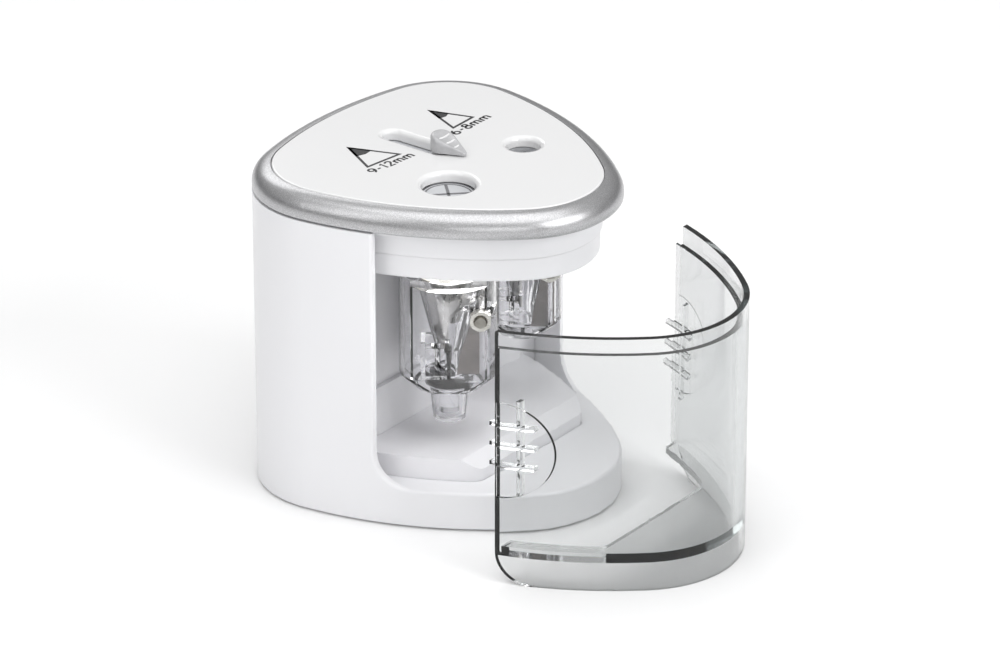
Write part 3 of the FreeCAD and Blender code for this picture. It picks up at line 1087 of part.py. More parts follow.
def make_container():
    skin = front_block("container_front", "container_end", "container_low", "shell_top", "container_corner")
    flaps = front_block("flap_front", "flap_end", "container_floor_low", "container_lip", "flap_corner")
    outer = outline_prism("container_outer", "flush", "container_low", "shell_top")
    lip = outline_prism("container_lip_room", "lip_inset", "container_lip", "shell_top + 1")
    room = outline_prism("container_room", "container_inset", "container_floor_high", "container_lip + 1")
    under = outline_prism("container_under", "skirt_inset", "container_low - 1", "container_floor_low")
    stage_way = footprint("container_stage_way", "container_floor_low - 1", "container_floor_high + 1", "0.6")
    shell = cut("container_shell", outer, lip, room, under, stage_way)
    walls = common("container_walls", shell, skin)
    inner = cut("flap_ring", outline_prism("flap_outer", "flap_inset", "container_floor_low", "container_lip"),
                outline_prism("flap_inner", "container_inset", "container_floor_low - 1", "container_lip + 1"))
    flap_walls = common("container_flaps", inner, flaps)

    # round-ended finger grips, sunk in the outer face near both ends, with ribs that reach past the ends
    middle = "((grip_low + grip_high) / 2)"
    grip_round = turn(cylinder("grip_round", "(grip_high - grip_low) / 2", "4 * reach"), (0, 1, 0), 90)
    put(grip_round, "-2 * reach", "-container_end - grip_before", middle)
    sunk = cut("grip_sunk", grip_round, outline_prism("grip_core", "grip_inset", "container_low", "shell_top"))
    ribs = []
    tab_ring = cut("tab_ring", outline_prism("tab_outer", "tab_outer_inset", "grip_low", "grip_high"),
                   outline_prism("tab_inner", "tab_inner_inset", "grip_low - 1", "grip_high + 1"))
    link_ring = cut("link_ring", outline_prism("link_outer", "container_inset", "grip_low", "grip_high"),
                    outline_prism("link_inner", "tab_inner_inset", "grip_low - 1", "grip_high + 1"))
    for step in (-1, 0, 1):
        low, high = (f"{middle} + {step} * rib_pitch {sign} rib_height / 2" for sign in "-+")
        reach_slab = box("rib_reach", ("-reach", "-rib_start", low), ("reach", "-tab_end", high))
        link_slab = box("rib_link", ("-reach", "-rib_start", low), ("reach", "-flap_end", high))
        ribs.append(common("rib_tab", tab_ring, reach_slab))
        ribs.append(common("rib_root", link_ring, link_slab))
    upright = box("rib_post", ("-reach", "-post_y - post_half", "grip_low"),
                  ("reach", "post_half - post_y", "grip_high"))
    ribs.append(common("rib_upright", link_ring, upright))
    whole = cut("container_home", fuse("container_body", walls, flap_walls, *ribs), sunk)
    placed = doc.addObject("Part::Compound", "container")
    placed.Links = [whole]
    keep("container", put(placed, "-out_x", "-out_y", "-container_low"))


make_shell()
make_base()
make_stage()
make_partition()
make_cells()
make_deck()
make_top()
make_selector()
pinion_phase = 0.0
large_phase = meshed_phase(drive, "drive_pinion_teeth", pinion_phase, spindle, "cutter_teeth")
small_phase = meshed_phase(drive, "drive_pinion_teeth", pinion_phase, spindle_small, "cutter_teeth")
wheel_phase = 0.0
motor_phase = meshed_phase(drive, "drive_wheel_teeth", wheel_phase, motor, "motor_teeth")
make_cutter("large", large_phase)
make_cutter("small", small_phase)
make_cup()
make_drive(pinion_phase, wheel_phase, motor_phase)
make_motor()
make_interlock()
make_container()

doc.recompute()
failed = [item.Name for item in doc.Objects if {"Invalid", "Error"} & set(item.State)]
if failed:
    raise RuntimeError(f"did not build: {failed}")
for node, item in SUBPARTS.items():
    if item.Shape.isNull() or not item.Shape.isValid():
        raise RuntimeError(f"{node} has no valid shape")

os.makedirs("parts", exist_ok=True)
for node, item in SUBPARTS.items():
    item.Shape.exportStep(f"parts/{node}.step")
    size = item.Shape.BoundBox
    print(f"{node:24s} {len(item.Shape.Solids)} solids {item.Shape.Volume:10.1f} mm3 "
          f"x {size.XMin:7.2f} {size.XMax:7.2f} y {size.YMin:7.2f} {size.YMax:7.2f} z {size.ZMin:6.2f} {size.ZMax:6.2f}")
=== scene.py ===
import math

import bmesh
import bpy
from mathutils import Matrix, Vector


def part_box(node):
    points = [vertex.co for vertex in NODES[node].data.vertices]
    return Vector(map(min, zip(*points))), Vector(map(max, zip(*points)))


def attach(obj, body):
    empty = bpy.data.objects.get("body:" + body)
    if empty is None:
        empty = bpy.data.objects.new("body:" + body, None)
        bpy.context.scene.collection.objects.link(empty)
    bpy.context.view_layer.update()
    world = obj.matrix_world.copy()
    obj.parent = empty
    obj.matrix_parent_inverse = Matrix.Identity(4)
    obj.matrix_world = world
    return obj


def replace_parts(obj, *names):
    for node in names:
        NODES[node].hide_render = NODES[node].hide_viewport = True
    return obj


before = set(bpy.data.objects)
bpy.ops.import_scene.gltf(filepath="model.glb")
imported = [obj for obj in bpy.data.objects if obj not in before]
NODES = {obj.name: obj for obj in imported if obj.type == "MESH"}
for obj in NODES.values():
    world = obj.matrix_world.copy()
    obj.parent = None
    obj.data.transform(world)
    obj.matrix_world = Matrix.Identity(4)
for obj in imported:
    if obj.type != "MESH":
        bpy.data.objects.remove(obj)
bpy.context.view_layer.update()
MM = 0.001

# ------------------------------------------------------------------ materials


class Look:
    """Builds one procedural material: a shader, and nodes that vary its colour, roughness and surface."""

    def __init__(self, name, colour, roughness, **sockets):
        self.material = bpy.data.materials.new(name)
        self.material.use_nodes = True
        self.tree = self.material.node_tree
        self.shader = self.tree.nodes["Principled BSDF"]
        self.shader.inputs["Base Color"].default_value = (*colour, 1)
        self.shader.inputs["Roughness"].default_value = roughness
        for key, value in sockets.items():
            self.shader.inputs[key.replace("_", " ")].default_value = value
        self.colour = colour
        self.place = self.node("ShaderNodeTexCoord").outputs["Object"]
        self.height = None

    def node(self, kind, **settings):
        made = self.tree.nodes.new(kind)
        for key, value in settings.items():
            setattr(made, key, value)
        return made

    def link(self, source, target):
        self.tree.links.new(source, target)
        return self

    def noise(self, size, detail=4.0, stretch=(1, 1, 1)):
        """Noise whose features are about size metres across."""
        mapping = self.node("ShaderNodeMapping")
        mapping.inputs["Scale"].default_value = [1 / (size * s) for s in stretch]
        self.link(self.place, mapping.inputs["Vector"])
        noise = self.node("ShaderNodeTexNoise")
        noise.inputs["Scale"].default_value = 1.0
        noise.inputs["Detail"].default_value = detail
        self.link(mapping.outputs["Vector"], noise.inputs["Vector"])
        return noise.outputs["Fac"]

    def cells(self, size, feature="F1"):
        texture = self.node("ShaderNodeTexVoronoi", feature=feature)
        texture.inputs["Scale"].default_value = 1 / size
        self.link(self.place, texture.inputs["Vector"])
        return texture.outputs["Distance"]

    def remap(self, source, low, high, start=0.3, end=0.7):
        ramp = self.node("ShaderNodeMapRange")
        for socket, value in zip(("From Min", "From Max", "To Min", "To Max"), (start, end, low, high)):
            ramp.inputs[socket].default_value = value
        self.link(source, ramp.inputs["Value"])
        return ramp.outputs["Result"]

    def rough(self, source, low, high, start=0.3, end=0.7):
        return self.link(self.remap(source, low, high, start, end), self.shader.inputs["Roughness"])

    def tint(self, source, other, start=0.3, end=0.7):
        """Blends the colour towards another one where the source is high."""
        mix = self.node("ShaderNodeMix", data_type="RGBA")
        held = self.shader.inputs["Base Color"].links
        if held:
            self.link(held[0].from_socket, mix.inputs[6])
        else:
            mix.inputs[6].default_value = (*self.colour, 1)
        mix.inputs[7].default_value = (*other, 1)
        self.link(self.remap(source, 0, 1, start, end), mix.inputs[0])
        return self.link(mix.outputs[2], self.shader.inputs["Base Color"])

    def bump(self, source, depth, strength=1.0):
        """Raises the surface by about depth metres; several bumps add up."""
        bump = self.node("ShaderNodeBump")
        bump.inputs["Strength"].default_value = strength
        bump.inputs["Distance"].default_value = depth
        self.link(source, bump.inputs["Height"])
        held = self.shader.inputs["Normal"].links
        if held:
            self.link(held[0].from_socket, bump.inputs["Normal"])
        return self.link(bump.outputs["Normal"], self.shader.inputs["Normal"])


def moulded(name, colour, roughness, shade, grain=0.0006, depth=0.000004, coat=0.0):
    """Injection-moulded plastic: slight flow marks in the colour, fine skin texture, uneven gloss."""
    look = Look(name, colour, roughness, Coat_Weight=coat, Coat_Roughness=0.08, IOR=1.5)
    look.tint(look.noise(0.03, 2.0), shade, 0.2, 0.9)
    look.rough(look.noise(0.006), roughness * 0.92, roughness * 1.1)
    look.bump(look.noise(grain, 3.0), depth)
    look.bump(look.noise(0.03, 2.0), depth * 5, 0.3)
    return look


def clear(name, colour, roughness, density):
    """Clear moulded styrene: faint flow lines, fine scuffs, and a tint that deepens with the thickness."""
    look = Look(name, colour, roughness, IOR=1.5, Transmission_Weight=1.0)
    look.rough(look.noise(0.004, 5.0), roughness * 0.6, roughness * 2.4, 0.35, 0.8)
    look.bump(look.noise(0.02, 2.0, (1, 1, 0.3)), 0.00006, 0.4)
    look.bump(look.noise(0.0012, 3.0), 0.000003)
    absorb = look.node("ShaderNodeVolumeAbsorption")
    absorb.inputs["Color"].default_value = (0.66, 0.69, 0.69, 1)
    absorb.inputs["Density"].default_value = density
    look.link(absorb.outputs["Volume"], look.tree.nodes["Material Output"].inputs["Volume"])
    return look


def metal(name, colour, roughness, other, along, size=0.008, depth=0.000006):
    """Worked metal: tool marks along one direction and a slightly uneven tone."""
    look = Look(name, colour, roughness, Metallic=1.0)
    marks = look.noise(size, 5.0, along)
    look.tint(look.noise(0.003, 4.0), other, 0.35, 0.8)
    look.rough(marks, roughness * 0.8, roughness * 1.25)
    look.bump(marks, depth, 0.6)
    return look


WHITE = (0.84, 0.84, 0.858)
white_abs = moulded("white_abs", WHITE, 0.30, (0.825, 0.825, 0.845), coat=0.25)
# the stage and partition are the housing's white ABS, painted lighter than WHITE as a painted stand-in for
# light in the shaded chamber
chamber_abs_painted_light = moulded("chamber_abs_painted_light", (0.90, 0.895, 0.92), 0.36, (0.885, 0.88, 0.905), coat=0.1)
top_gloss = moulded("top_gloss", (0.80, 0.80, 0.802), 0.16, (0.785, 0.785, 0.79), grain=0.001, depth=0.000002,
                    coat=0.5)
grey_abs = moulded("grey_abs", (0.60, 0.60, 0.64), 0.42, (0.55, 0.55, 0.59))
cover_abs = moulded("cover_abs", (0.70, 0.70, 0.72), 0.5, (0.66, 0.66, 0.68), grain=0.0008, depth=0.00002)
shutter_abs = moulded("shutter_abs", (0.55, 0.56, 0.58), 0.35, (0.50, 0.51, 0.53))
black_abs = moulded("black_abs", (0.035, 0.035, 0.037), 0.42, (0.05, 0.05, 0.05), depth=0.00001)
acetal = moulded("acetal", (0.80, 0.79, 0.74), 0.38, (0.76, 0.74, 0.68))
bush_acetal = moulded("bush_acetal", (0.72, 0.71, 0.66), 0.4, (0.68, 0.66, 0.6))
rubber = moulded("rubber_foot", (0.045, 0.045, 0.047), 0.75, (0.07, 0.07, 0.07), grain=0.0004, depth=0.00002)

ring_paint = Look("ring_paint", (0.36, 0.36, 0.37), 0.34, Metallic=0.92, Coat_Weight=0.3, Coat_Roughness=0.25)
flakes = ring_paint.cells(0.00022)
ring_paint.tint(flakes, (0.58, 0.58, 0.59), 0.15, 0.75)
ring_paint.rough(ring_paint.noise(0.0005, 2.0), 0.28, 0.42)
ring_paint.bump(flakes, 0.000012, 0.5)

pearl = Look("pearl_knob", (0.47, 0.47, 0.48), 0.2, IOR=1.5, Coat_Weight=0.5, Coat_Roughness=0.1)
pearl.tint(pearl.noise(0.002, 3.0), (0.39, 0.39, 0.40), 0.35, 0.8)
pearl.rough(pearl.noise(0.001), 0.15, 0.28)
pearl.bump(pearl.noise(0.0008, 3.0), 0.000004)

container_clear = clear("container_clear", (0.90, 0.903, 0.903), 0.02, 100.0)
holder_clear = clear("holder_clear", (0.975, 0.975, 0.985), 0.05, 3.0)

cone_metal = metal("cone_metal", (0.80, 0.79, 0.77), 0.3, (0.72, 0.71, 0.68), (0.2, 0.2, 4), 0.004, 0.000001)
blade_steel = metal("blade_steel", (0.12, 0.10, 0.09), 0.33, (0.19, 0.165, 0.15), (1, 1, 0.03), 0.006)
zinc = metal("zinc", (0.62, 0.61, 0.58), 0.26, (0.48, 0.47, 0.43), (1, 1, 0.05), 0.004)
dark_zinc = metal("dark_zinc", (0.26, 0.25, 0.23), 0.32, (0.36, 0.35, 0.32), (1, 1, 0.05), 0.003)
nickel = metal("nickel", (0.68, 0.66, 0.61), 0.2, (0.56, 0.54, 0.5), (0.05, 1, 1))
brass = metal("brass", (0.70, 0.52, 0.24), 0.25, (0.6, 0.42, 0.18), (1, 1, 0.05))
can_steel = metal("can_steel", (0.58, 0.58, 0.57), 0.28, (0.5, 0.5, 0.5), (1, 1, 0.05))
copper = metal("copper", (0.62, 0.28, 0.14), 0.3, (0.5, 0.2, 0.09), (1, 1, 0.05))

ink = Look("ink", (0.02, 0.02, 0.022), 0.35)
ink.tint(ink.noise(0.0008, 4.0), (0.035, 0.035, 0.038), 0.45, 0.8)
ink.rough(ink.noise(0.0004), 0.28, 0.45)
# printed grey, also used for the painted shadow ring round the shutter's sign
mark_and_shadow_grey = Look("mark_and_shadow_grey", (0.13, 0.13, 0.14), 0.4)
mark_and_shadow_grey.tint(mark_and_shadow_grey.noise(0.0006, 4.0), (0.18, 0.18, 0.19), 0.4, 0.8)
mark_and_shadow_grey.rough(mark_and_shadow_grey.noise(0.0004), 0.3, 0.5)
jacket = moulded("cell_jacket", (0.03, 0.05, 0.11), 0.22, (0.02, 0.035, 0.08), coat=0.5)

FINISH = {
    white_abs: ("body_shell", "deck_lower", "deck_upper", "gear_cover", "battery_door"),
    chamber_abs_painted_light: ("stage", "partition_wall"),
    cover_abs: ("bottom_cover",),
    top_gloss: ("top_plate",),
    grey_abs: ("motor_cradle", "interlock_plunger"),
    ring_paint: ("silver_ring",),
    shutter_abs: ("shutter_plate",),
    pearl: ("selector_knob",),
    holder_clear: ("large_cutter_holder", "small_cutter_holder", "large_end_cup"),
    container_clear: ("container",),
    cone_metal: ("large_cutter_cone", "small_cutter_cone"),
    blade_steel: ("large_blade", "small_blade"),
    zinc: ("housing_screws", "deck_screws", "motor_screws", "large_blade_nut", "small_blade_nut",
           "drive_axle", "motor_shaft"),
    dark_zinc: ("large_blade_screw", "small_blade_screw"),
    nickel: ("contact_plate_front", "contact_plate_rear", "battery_springs"),
    acetal: ("large_cutter_gear", "small_cutter_gear", "drive_gear"),
    bush_acetal: ("large_bush", "small_bush"),
    rubber: ("rubber_feet",),
    black_abs: ("motor_end_cap", "interlock_switch"),
    brass: ("motor_pinion", "motor_terminals"),
    can_steel: ("motor_can",),
    copper: ("motor_armature",),
    jacket: ("battery_cell_1", "battery_cell_2", "battery_cell_3", "battery_cell_4"),
}
for look, names in FINISH.items():
    for name in names:
        slots = NODES[name].data.materials
        slots.clear()
        slots.append(look.material)
left_plain = sorted(set(NODES) - {name for names in FINISH.values() for name in names})
if left_plain:
    raise RuntimeError(f"no finish for {left_plain}")

# ------------------------------------------------------------------ printed marks, and a painted shadow on the shutter


def piece(name, mesh, look, body):
    made = bpy.data.objects.new(name, mesh)
    bpy.context.scene.collection.objects.link(made)
    mesh.materials.clear()
    mesh.materials.append(look.material)
    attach(made, body)
    return made


def slab(outlines, low, high):
    """Closed flat pieces between two heights, from lists of (x, y) in millimetres; two lists make a frame."""
    shape = bmesh.new()
    for outline in outlines:
        rings = outline if isinstance(outline[0][0], (list, tuple)) else [outline]
        levels = [[[shape.verts.new((x * MM, y * MM, z)) for x, y in ring] for ring in rings]
                  for z in (low, high)]
        for level in levels:
            if len(rings) == 1:
                shape.faces.new(level[0])
                continue
            count = len(rings[0])
            for i in range(count):
                j = (i + 1) % count
                shape.faces.new((level[0][i], level[0][j], level[1][j], level[1][i]))
        for k in range(len(rings)):
            count = len(rings[k])
            for i in range(count):
                j = (i + 1) % count
                shape.faces.new((levels[0][k][i], levels[0][k][j], levels[1][k][j], levels[1][k][i]))
    bmesh.ops.recalc_face_normals(shape, faces=shape.faces)
    mesh = bpy.data.meshes.new("slab")
    shape.to_mesh(mesh)
    shape.free()
    return mesh


def ring_of(x, y, radius, count=64):
    return [(x + radius * math.cos(2 * math.pi * i / count), y + radius * math.sin(2 * math.pi * i / count))
            for i in range(count)]


def inset_triangle(points, width):
    """The triangle moved in by width on every side."""
    sides = [(Vector(points[i]), Vector(points[(i + 1) % 3])) for i in range(3)]
    lengths = [(b - a).length for a, b in sides]
    opposite = [lengths[1], lengths[2], lengths[0]]
    centre = sum((Vector(p) * w for p, w in zip(points, opposite)), Vector((0, 0))) / sum(lengths)
    area = abs((Vector(points[1]) - Vector(points[0])).cross(Vector(points[2]) - Vector(points[0]))) / 2
    radius = 2 * area / sum(lengths)
    return [tuple(centre + (Vector(p) - centre) * (1 - width / radius)) for p in points]


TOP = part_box("top_plate")[1].z
INK_LIFT = 0.00003      # metres above the surface
LINE = 0.75             # pencil outlines, in millimetres
SPINDLE = (-16.0, -10.5)


def pencil_mark(name, tip, left, right, lead):
    """A sharpened pencil's tip in outline, with a solid lead."""
    corners = [left, right, tip]
    tip_v = Vector(tip)
    a, b = (tip_v + (Vector(p) - tip_v) * lead for p in (left, right))
    middle = tip_v + ((Vector(left) + Vector(right)) / 2 - tip_v) * (lead + 0.05)
    lead_shape = [tuple(a), tuple(middle), tuple(b), tip]
    mesh = slab([[corners, inset_triangle(corners, LINE)], lead_shape], TOP - INK_LIFT, TOP + INK_LIFT)
    return piece(name, mesh, ink, "housing")


pencil_mark("mark_small_pencil", (18.4, 23.5), (12.6, 10.2), (22.5, 10.5), 0.46)
pencil_mark("mark_large_pencil", (-13.9, 25.2), (-21.2, 12.3), (-8.5, 10.7), 0.46)


def bow(x, y, radius, start, end, squash=1.0, steps=20):
    """Points along an arc, angles in degrees."""
    turns = [math.radians(start + (end - start) * i / steps) for i in range(steps + 1)]
    return [(x + radius * math.cos(t), y + radius * squash * math.sin(t)) for t in turns]


# strokes of the characters, one unit high; each has its width and its lines
SIX = [bow(0.30, 0.30, 0.25, 0, 360, 1.04), bow(0.62, 0.34, 0.575, 178, 118, 1.08)]
STROKES = {
    "6": (0.60, SIX),
    "9": (0.60, [[(0.60 - x, 0.97 - y) for x, y in line] for line in SIX]),
    "8": (0.60, [bow(0.30, 0.27, 0.25, 0, 360), bow(0.30, 0.74, 0.20, 0, 360, 1.05)]),
    "1": (0.42, [[(0.08, 0.80), (0.26, 0.95), (0.26, 0.02)]]),
    "2": (0.60, [bow(0.29, 0.70, 0.24, 165, -20, 1.05) + [(0.06, 0.04), (0.56, 0.04)]]),
    "-": (0.42, [[(0.06, 0.42), (0.36, 0.42)]]),
    "m": (0.92, [[(0.08, 0.02), (0.08, 0.66)], bow(0.27, 0.44, 0.19, 180, 0, 1.1) + [(0.46, 0.02)],
                 bow(0.65, 0.44, 0.19, 180, 0, 1.1) + [(0.84, 0.02)]]),
}
CHARACTER_GAP = 0.14


def ribbon(points, half):
    """A closed outline round a line; a line that ends where it starts gives a frame."""
    line = [Vector(p) for p in points]
    closed = (line[0] - line[-1]).length < 1e-4
    if closed:
        line = line[:-1]
    count = len(line)
    left, right = [], []
    for i, spot in enumerate(line):
        before = line[i - 1] if closed or i else spot
        after = line[(i + 1) % count] if closed or i < count - 1 else spot
        ways = [w.normalized() for w in (spot - before, after - spot) if w.length > 0]
        way = sum(ways, Vector((0, 0))).normalized()
        side = Vector((-way.y, way.x))
        mitre = min(1 / max(side.dot(Vector((-ways[0].y, ways[0].x))), 0.3), 1.6)
        left.append(tuple(spot + side * half * mitre))
        right.append(tuple(spot - side * half * mitre))
    return [left, right] if closed else left + right[::-1]


def text_mark(name, words, start, end, height, half=0.095):
    """Lettering whose baseline runs from start to end, in millimetres; every stroke is a flat piece."""
    widths = [STROKES[c][0] + CHARACTER_GAP for c in words]
    run = Vector(end) - Vector(start)
    wide = run.length / (sum(widths) - CHARACTER_GAP)
    along = run.normalized()
    rise = Vector((-along.y, along.x))
    outlines, reach = [], 0.0

    def placed(points):
        return [tuple(Vector(start) + along * (reach + x) * wide + rise * y * height) for x, y in points]

    for character, step in zip(words, widths):
        for line in STROKES[character][1]:
            shape = ribbon(line, half)
            outlines.append([placed(r) for r in shape] if isinstance(shape[0], list) else placed(shape))
        reach += step
    return piece(name, slab(outlines, TOP - INK_LIFT, TOP + INK_LIFT), ink, "housing")


text_mark("mark_small_size", "6-8mm", (10.1, 6.9), (25.2, 6.9), 3.0)
text_mark("mark_large_size", "9-12mm", (-22.9, 8.6), (-7.3, 7.2), 3.0)

# a closed sign printed on the shutter, an inner ring and a cross, with a painted shadow as the outer ring,
# where the shutter meets the wall of the large hole
SHUTTER_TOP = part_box("shutter_plate")[1].z
BAR_HALF, BAR_WIDE = 6.0, 0.4
print_and_gap_shadow = [[ring_of(*SPINDLE, 7.2), ring_of(*SPINDLE, 6.75)], [ring_of(*SPINDLE, 6.3), ring_of(*SPINDLE, 5.9)]]
for angle in (45, 135):
    turn = math.radians(angle)
    along, across = Vector((math.cos(turn), math.sin(turn))), Vector((-math.sin(turn), math.cos(turn)))
    print_and_gap_shadow.append([tuple(Vector(SPINDLE) + along * BAR_HALF * u + across * BAR_WIDE * v)
                 for u, v in ((-1, -1), (1, -1), (1, 1), (-1, 1))])
piece("shutter_print_and_gap_shadow", slab(print_and_gap_shadow, SHUTTER_TOP - INK_LIFT, SHUTTER_TOP + INK_LIFT * 2), mark_and_shadow_grey, "selector")

# ------------------------------------------------------------------ detailed pieces

def turned(name, profile, look, body, slot, x, y, count=64):
    """A round piece about a vertical axis, from (radius, height) pairs in millimetres, low end first."""
    shape = bmesh.new()
    rings = [[shape.verts.new(((x + r * math.cos(2 * math.pi * i / count)) * MM,
                               (y + r * math.sin(2 * math.pi * i / count)) * MM, z * MM)) for i in range(count)]
             for r, z in profile]
    for low, high in zip(rings, rings[1:]):
        for i in range(count):
            j = (i + 1) % count
            shape.faces.new((low[i], low[j], high[j], high[i]))
    shape.faces.new(rings[0][::-1])
    shape.faces.new(rings[-1])
    bmesh.ops.recalc_face_normals(shape, faces=shape.faces)
    mesh = bpy.data.meshes.new(name)
    shape.to_mesh(mesh)
    shape.free()
    return piece(name, mesh, look, body)


def smooth_by_angle(mesh, degrees=35):
    mesh.polygons.foreach_set("use_smooth", [True] * len(mesh.polygons))
    mesh.set_sharp_from_angle(angle=math.radians(degrees))


KNOB_LOW, KNOB_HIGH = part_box("selector_knob")
KNOB_END, KNOB_RADIUS, NOSE, NOSE_RADIUS = 3.5, 3.5, -3.9, 0.9
KNOB_BASE, NOSE_TOP, KNOB_SLOPE, KNOB_FILLET = 90.9, 91.5, 0.425, 0.9
STEM_RADIUS, STEM_Y = 2.4, 4.6
DISH_DEPTH, DISH_HALF = 0.35, 2.4
CREST_SOFT = 0.8        # length over which the face bends into the flat top
RIDGES = {-0.75: 1.2, 1.25: 1.8, 3.3: 2.2}      # place along the face, and half length


def knob_outline(count=192):
    """The drop-shaped outline: a round end behind, a small nose in front, and their tangents."""
    nose = NOSE + NOSE_RADIUS
    lean = math.asin((KNOB_RADIUS - NOSE_RADIUS) / (KNOB_END - nose))
    points = []
    for centre, radius, start, end in ((KNOB_END, KNOB_RADIUS, -lean, math.pi + lean),
                                       (nose, NOSE_RADIUS, math.pi + lean, 2 * math.pi - lean)):
        steps = count * 3 // 4 if radius == KNOB_RADIUS else count // 4
        for i in range(steps):
            angle = start + (end - start) * i / (steps - 1)
            points.append(Vector((radius * math.cos(angle), centre + radius * math.sin(angle))))
    return points


def knob_face(x, y):
    """Height of the knob's dished sloping face, in millimetres."""
    top = KNOB_HIGH.z / MM
    slope = NOSE_TOP + (y - NOSE) * KNOB_SLOPE
    blend = max(CREST_SOFT - abs(slope - top), 0) / CREST_SOFT
    height = min(slope, top) - blend * blend * 0.2
    across = max(1 - (x / DISH_HALF) ** 2, 0)
    return height - DISH_DEPTH * across * max(min((y + 2.5) / 2, 1, (5.0 - y) / 1.5), 0)


def ridge_mesh(y, half, high=0.26, wide=0.24, steps=28, sides=10):
    """A rounded rib across the knob's face that fades out at both ends."""
    shape = bmesh.new()
    rings = []
    for i in range(steps + 1):
        x = half * (2 * i / steps - 1)
        fade = max(1 - abs(x / half) ** 6, 0.0) ** 0.5 + 0.02
        ring = []
        for k in range(sides + 1):
            angle = math.pi * k / sides
            spot = y + wide * fade * math.cos(angle)
            rise = knob_face(x, spot) - 0.12 + (high + 0.12) * fade * math.sin(angle)
            ring.append(shape.verts.new((x * MM, spot * MM, rise * MM)))
        rings.append(ring)
    for one, two in zip(rings, rings[1:]):
        for k in range(sides + 1):
            j = (k + 1) % (sides + 1)
            shape.faces.new((one[k], one[j], two[j], two[k]))
    shape.faces.new(rings[0][::-1])
    shape.faces.new(rings[-1])
    bmesh.ops.recalc_face_normals(shape, faces=shape.faces)
    mesh = bpy.data.meshes.new("ridge")
    shape.to_mesh(mesh)
    shape.free()
    smooth_by_angle(mesh, 50)
    return mesh


def knob_mesh():
    outline = knob_outline()
    centre = Vector((0, 1.6))
    shape = bmesh.new()
    rounds = 14
    reach = {id(p): (p - centre).length for p in outline}
    rings = []
    for level in range(1, 33):
        part = level / 32
        ring = []
        for p in outline:
            inner = 1 - KNOB_FILLET / reach[id(p)]
            spot = centre + (p - centre) * part * inner
            ring.append(shape.verts.new((spot.x * MM, spot.y * MM, knob_face(spot.x, spot.y) * MM)))
        rings.append(ring)
    for k in range(1, rounds + 1):
        angle = math.pi / 2 * k / rounds
        ring = []
        for p in outline:
            away = KNOB_FILLET * math.sin(angle)
            spot = centre + (p - centre) * (1 - (KNOB_FILLET - away) / reach[id(p)])
            edge = centre + (p - centre) * (1 - KNOB_FILLET / reach[id(p)])
            drop = min(KNOB_FILLET, knob_face(edge.x, edge.y) - KNOB_BASE) * (1 - math.cos(angle))
            ring.append(shape.verts.new((spot.x * MM, spot.y * MM, (knob_face(edge.x, edge.y) - drop) * MM)))
        rings.append(ring)
    rings.append([shape.verts.new((p.x * MM, p.y * MM, KNOB_BASE * MM)) for p in outline])
    middle = shape.verts.new((centre.x * MM, centre.y * MM, knob_face(*centre) * MM))
    count = len(outline)
    for i in range(count):
        shape.faces.new((middle, rings[0][i], rings[0][(i + 1) % count]))
    for inner, outer in zip(rings, rings[1:]):
        for i in range(count):
            j = (i + 1) % count
            shape.faces.new((inner[i], outer[i], outer[j], inner[j]))
    shape.faces.new(rings[-1][::-1])
    bmesh.ops.remove_doubles(shape, verts=shape.verts, dist=0.000001)
    bmesh.ops.recalc_face_normals(shape, faces=shape.faces)
    mesh = bpy.data.meshes.new("knob")
    shape.to_mesh(mesh)
    shape.free()
    smooth_by_angle(mesh)
    return mesh


knob = piece("knob_head", knob_mesh(), pearl, "selector")
turned("knob_stem", [(STEM_RADIUS, KNOB_LOW.z / MM), (STEM_RADIUS, KNOB_BASE + 0.05)], pearl, "selector",
       "pearl_plastic", 0.0, STEM_Y)
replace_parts(knob, "selector_knob")
# the ridges are painted in the lighter top_gloss white instead of the knob's pearl grey, a painted highlight
# along the ridges
for number, (ridge_y, ridge_half) in enumerate(RIDGES.items(), 1):
    piece(f"knob_ridge_highlight_{number}", ridge_mesh(ridge_y, ridge_half), top_gloss, "selector")

NUT_FLATS, NUT_DEPTH, NUT_BORE = 5.5, 2.4, 1.47
NUT_CHAMFER, NUT_SINK = 0.30, 0.35


def hex_nut(name, node, body, bearing, count=96):
    """A level hexagon nut with chamfered corners and countersunk ends, in place of the plain one."""
    low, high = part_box(node)
    centre = (low + high) / 2
    side = NUT_FLATS / 2
    levels = ((0.0, NUT_CHAMFER), (0.28, 0.0), (NUT_DEPTH - 0.28, 0.0), (NUT_DEPTH, NUT_CHAMFER))
    axis = Vector((math.cos(bearing), math.sin(bearing), 0))
    across = Vector((-axis.y, axis.x, 0))
    shape = bmesh.new()

    def ring(radius_at, along):
        made = []
        for i in range(count):
            angle = 2 * math.pi * i / count
            r = radius_at(angle)
            spot = axis * (along - NUT_DEPTH / 2) + across * r * math.cos(angle)
            spot += Vector((0, 0, r * math.sin(angle)))
            made.append(shape.verts.new(centre + spot * MM))
        return made

    def hexagon(angle):
        turned_by = (angle + math.pi / 6) % (math.pi / 3) - math.pi / 6
        return side / math.cos(turned_by)

    rings = [ring(lambda a: NUT_BORE, NUT_SINK), ring(lambda a: NUT_BORE + 0.4, 0.0)]
    for along, cutback in levels:
        rings.append(ring(lambda a: min(hexagon(a), side * 1.14 - cutback), along))
    rings += [ring(lambda a: NUT_BORE + 0.4, NUT_DEPTH), ring(lambda a: NUT_BORE, NUT_DEPTH - NUT_SINK)]
    for inner, outer in zip(rings, rings[1:] + rings[:1]):
        for i in range(count):
            j = (i + 1) % count
            shape.faces.new((inner[i], inner[j], outer[j], outer[i]))
    bmesh.ops.recalc_face_normals(shape, faces=shape.faces)
    mesh = bpy.data.meshes.new(name)
    shape.to_mesh(mesh)
    shape.free()
    smooth_by_angle(mesh, 25)
    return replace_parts(piece(name, mesh, zinc, body), node)


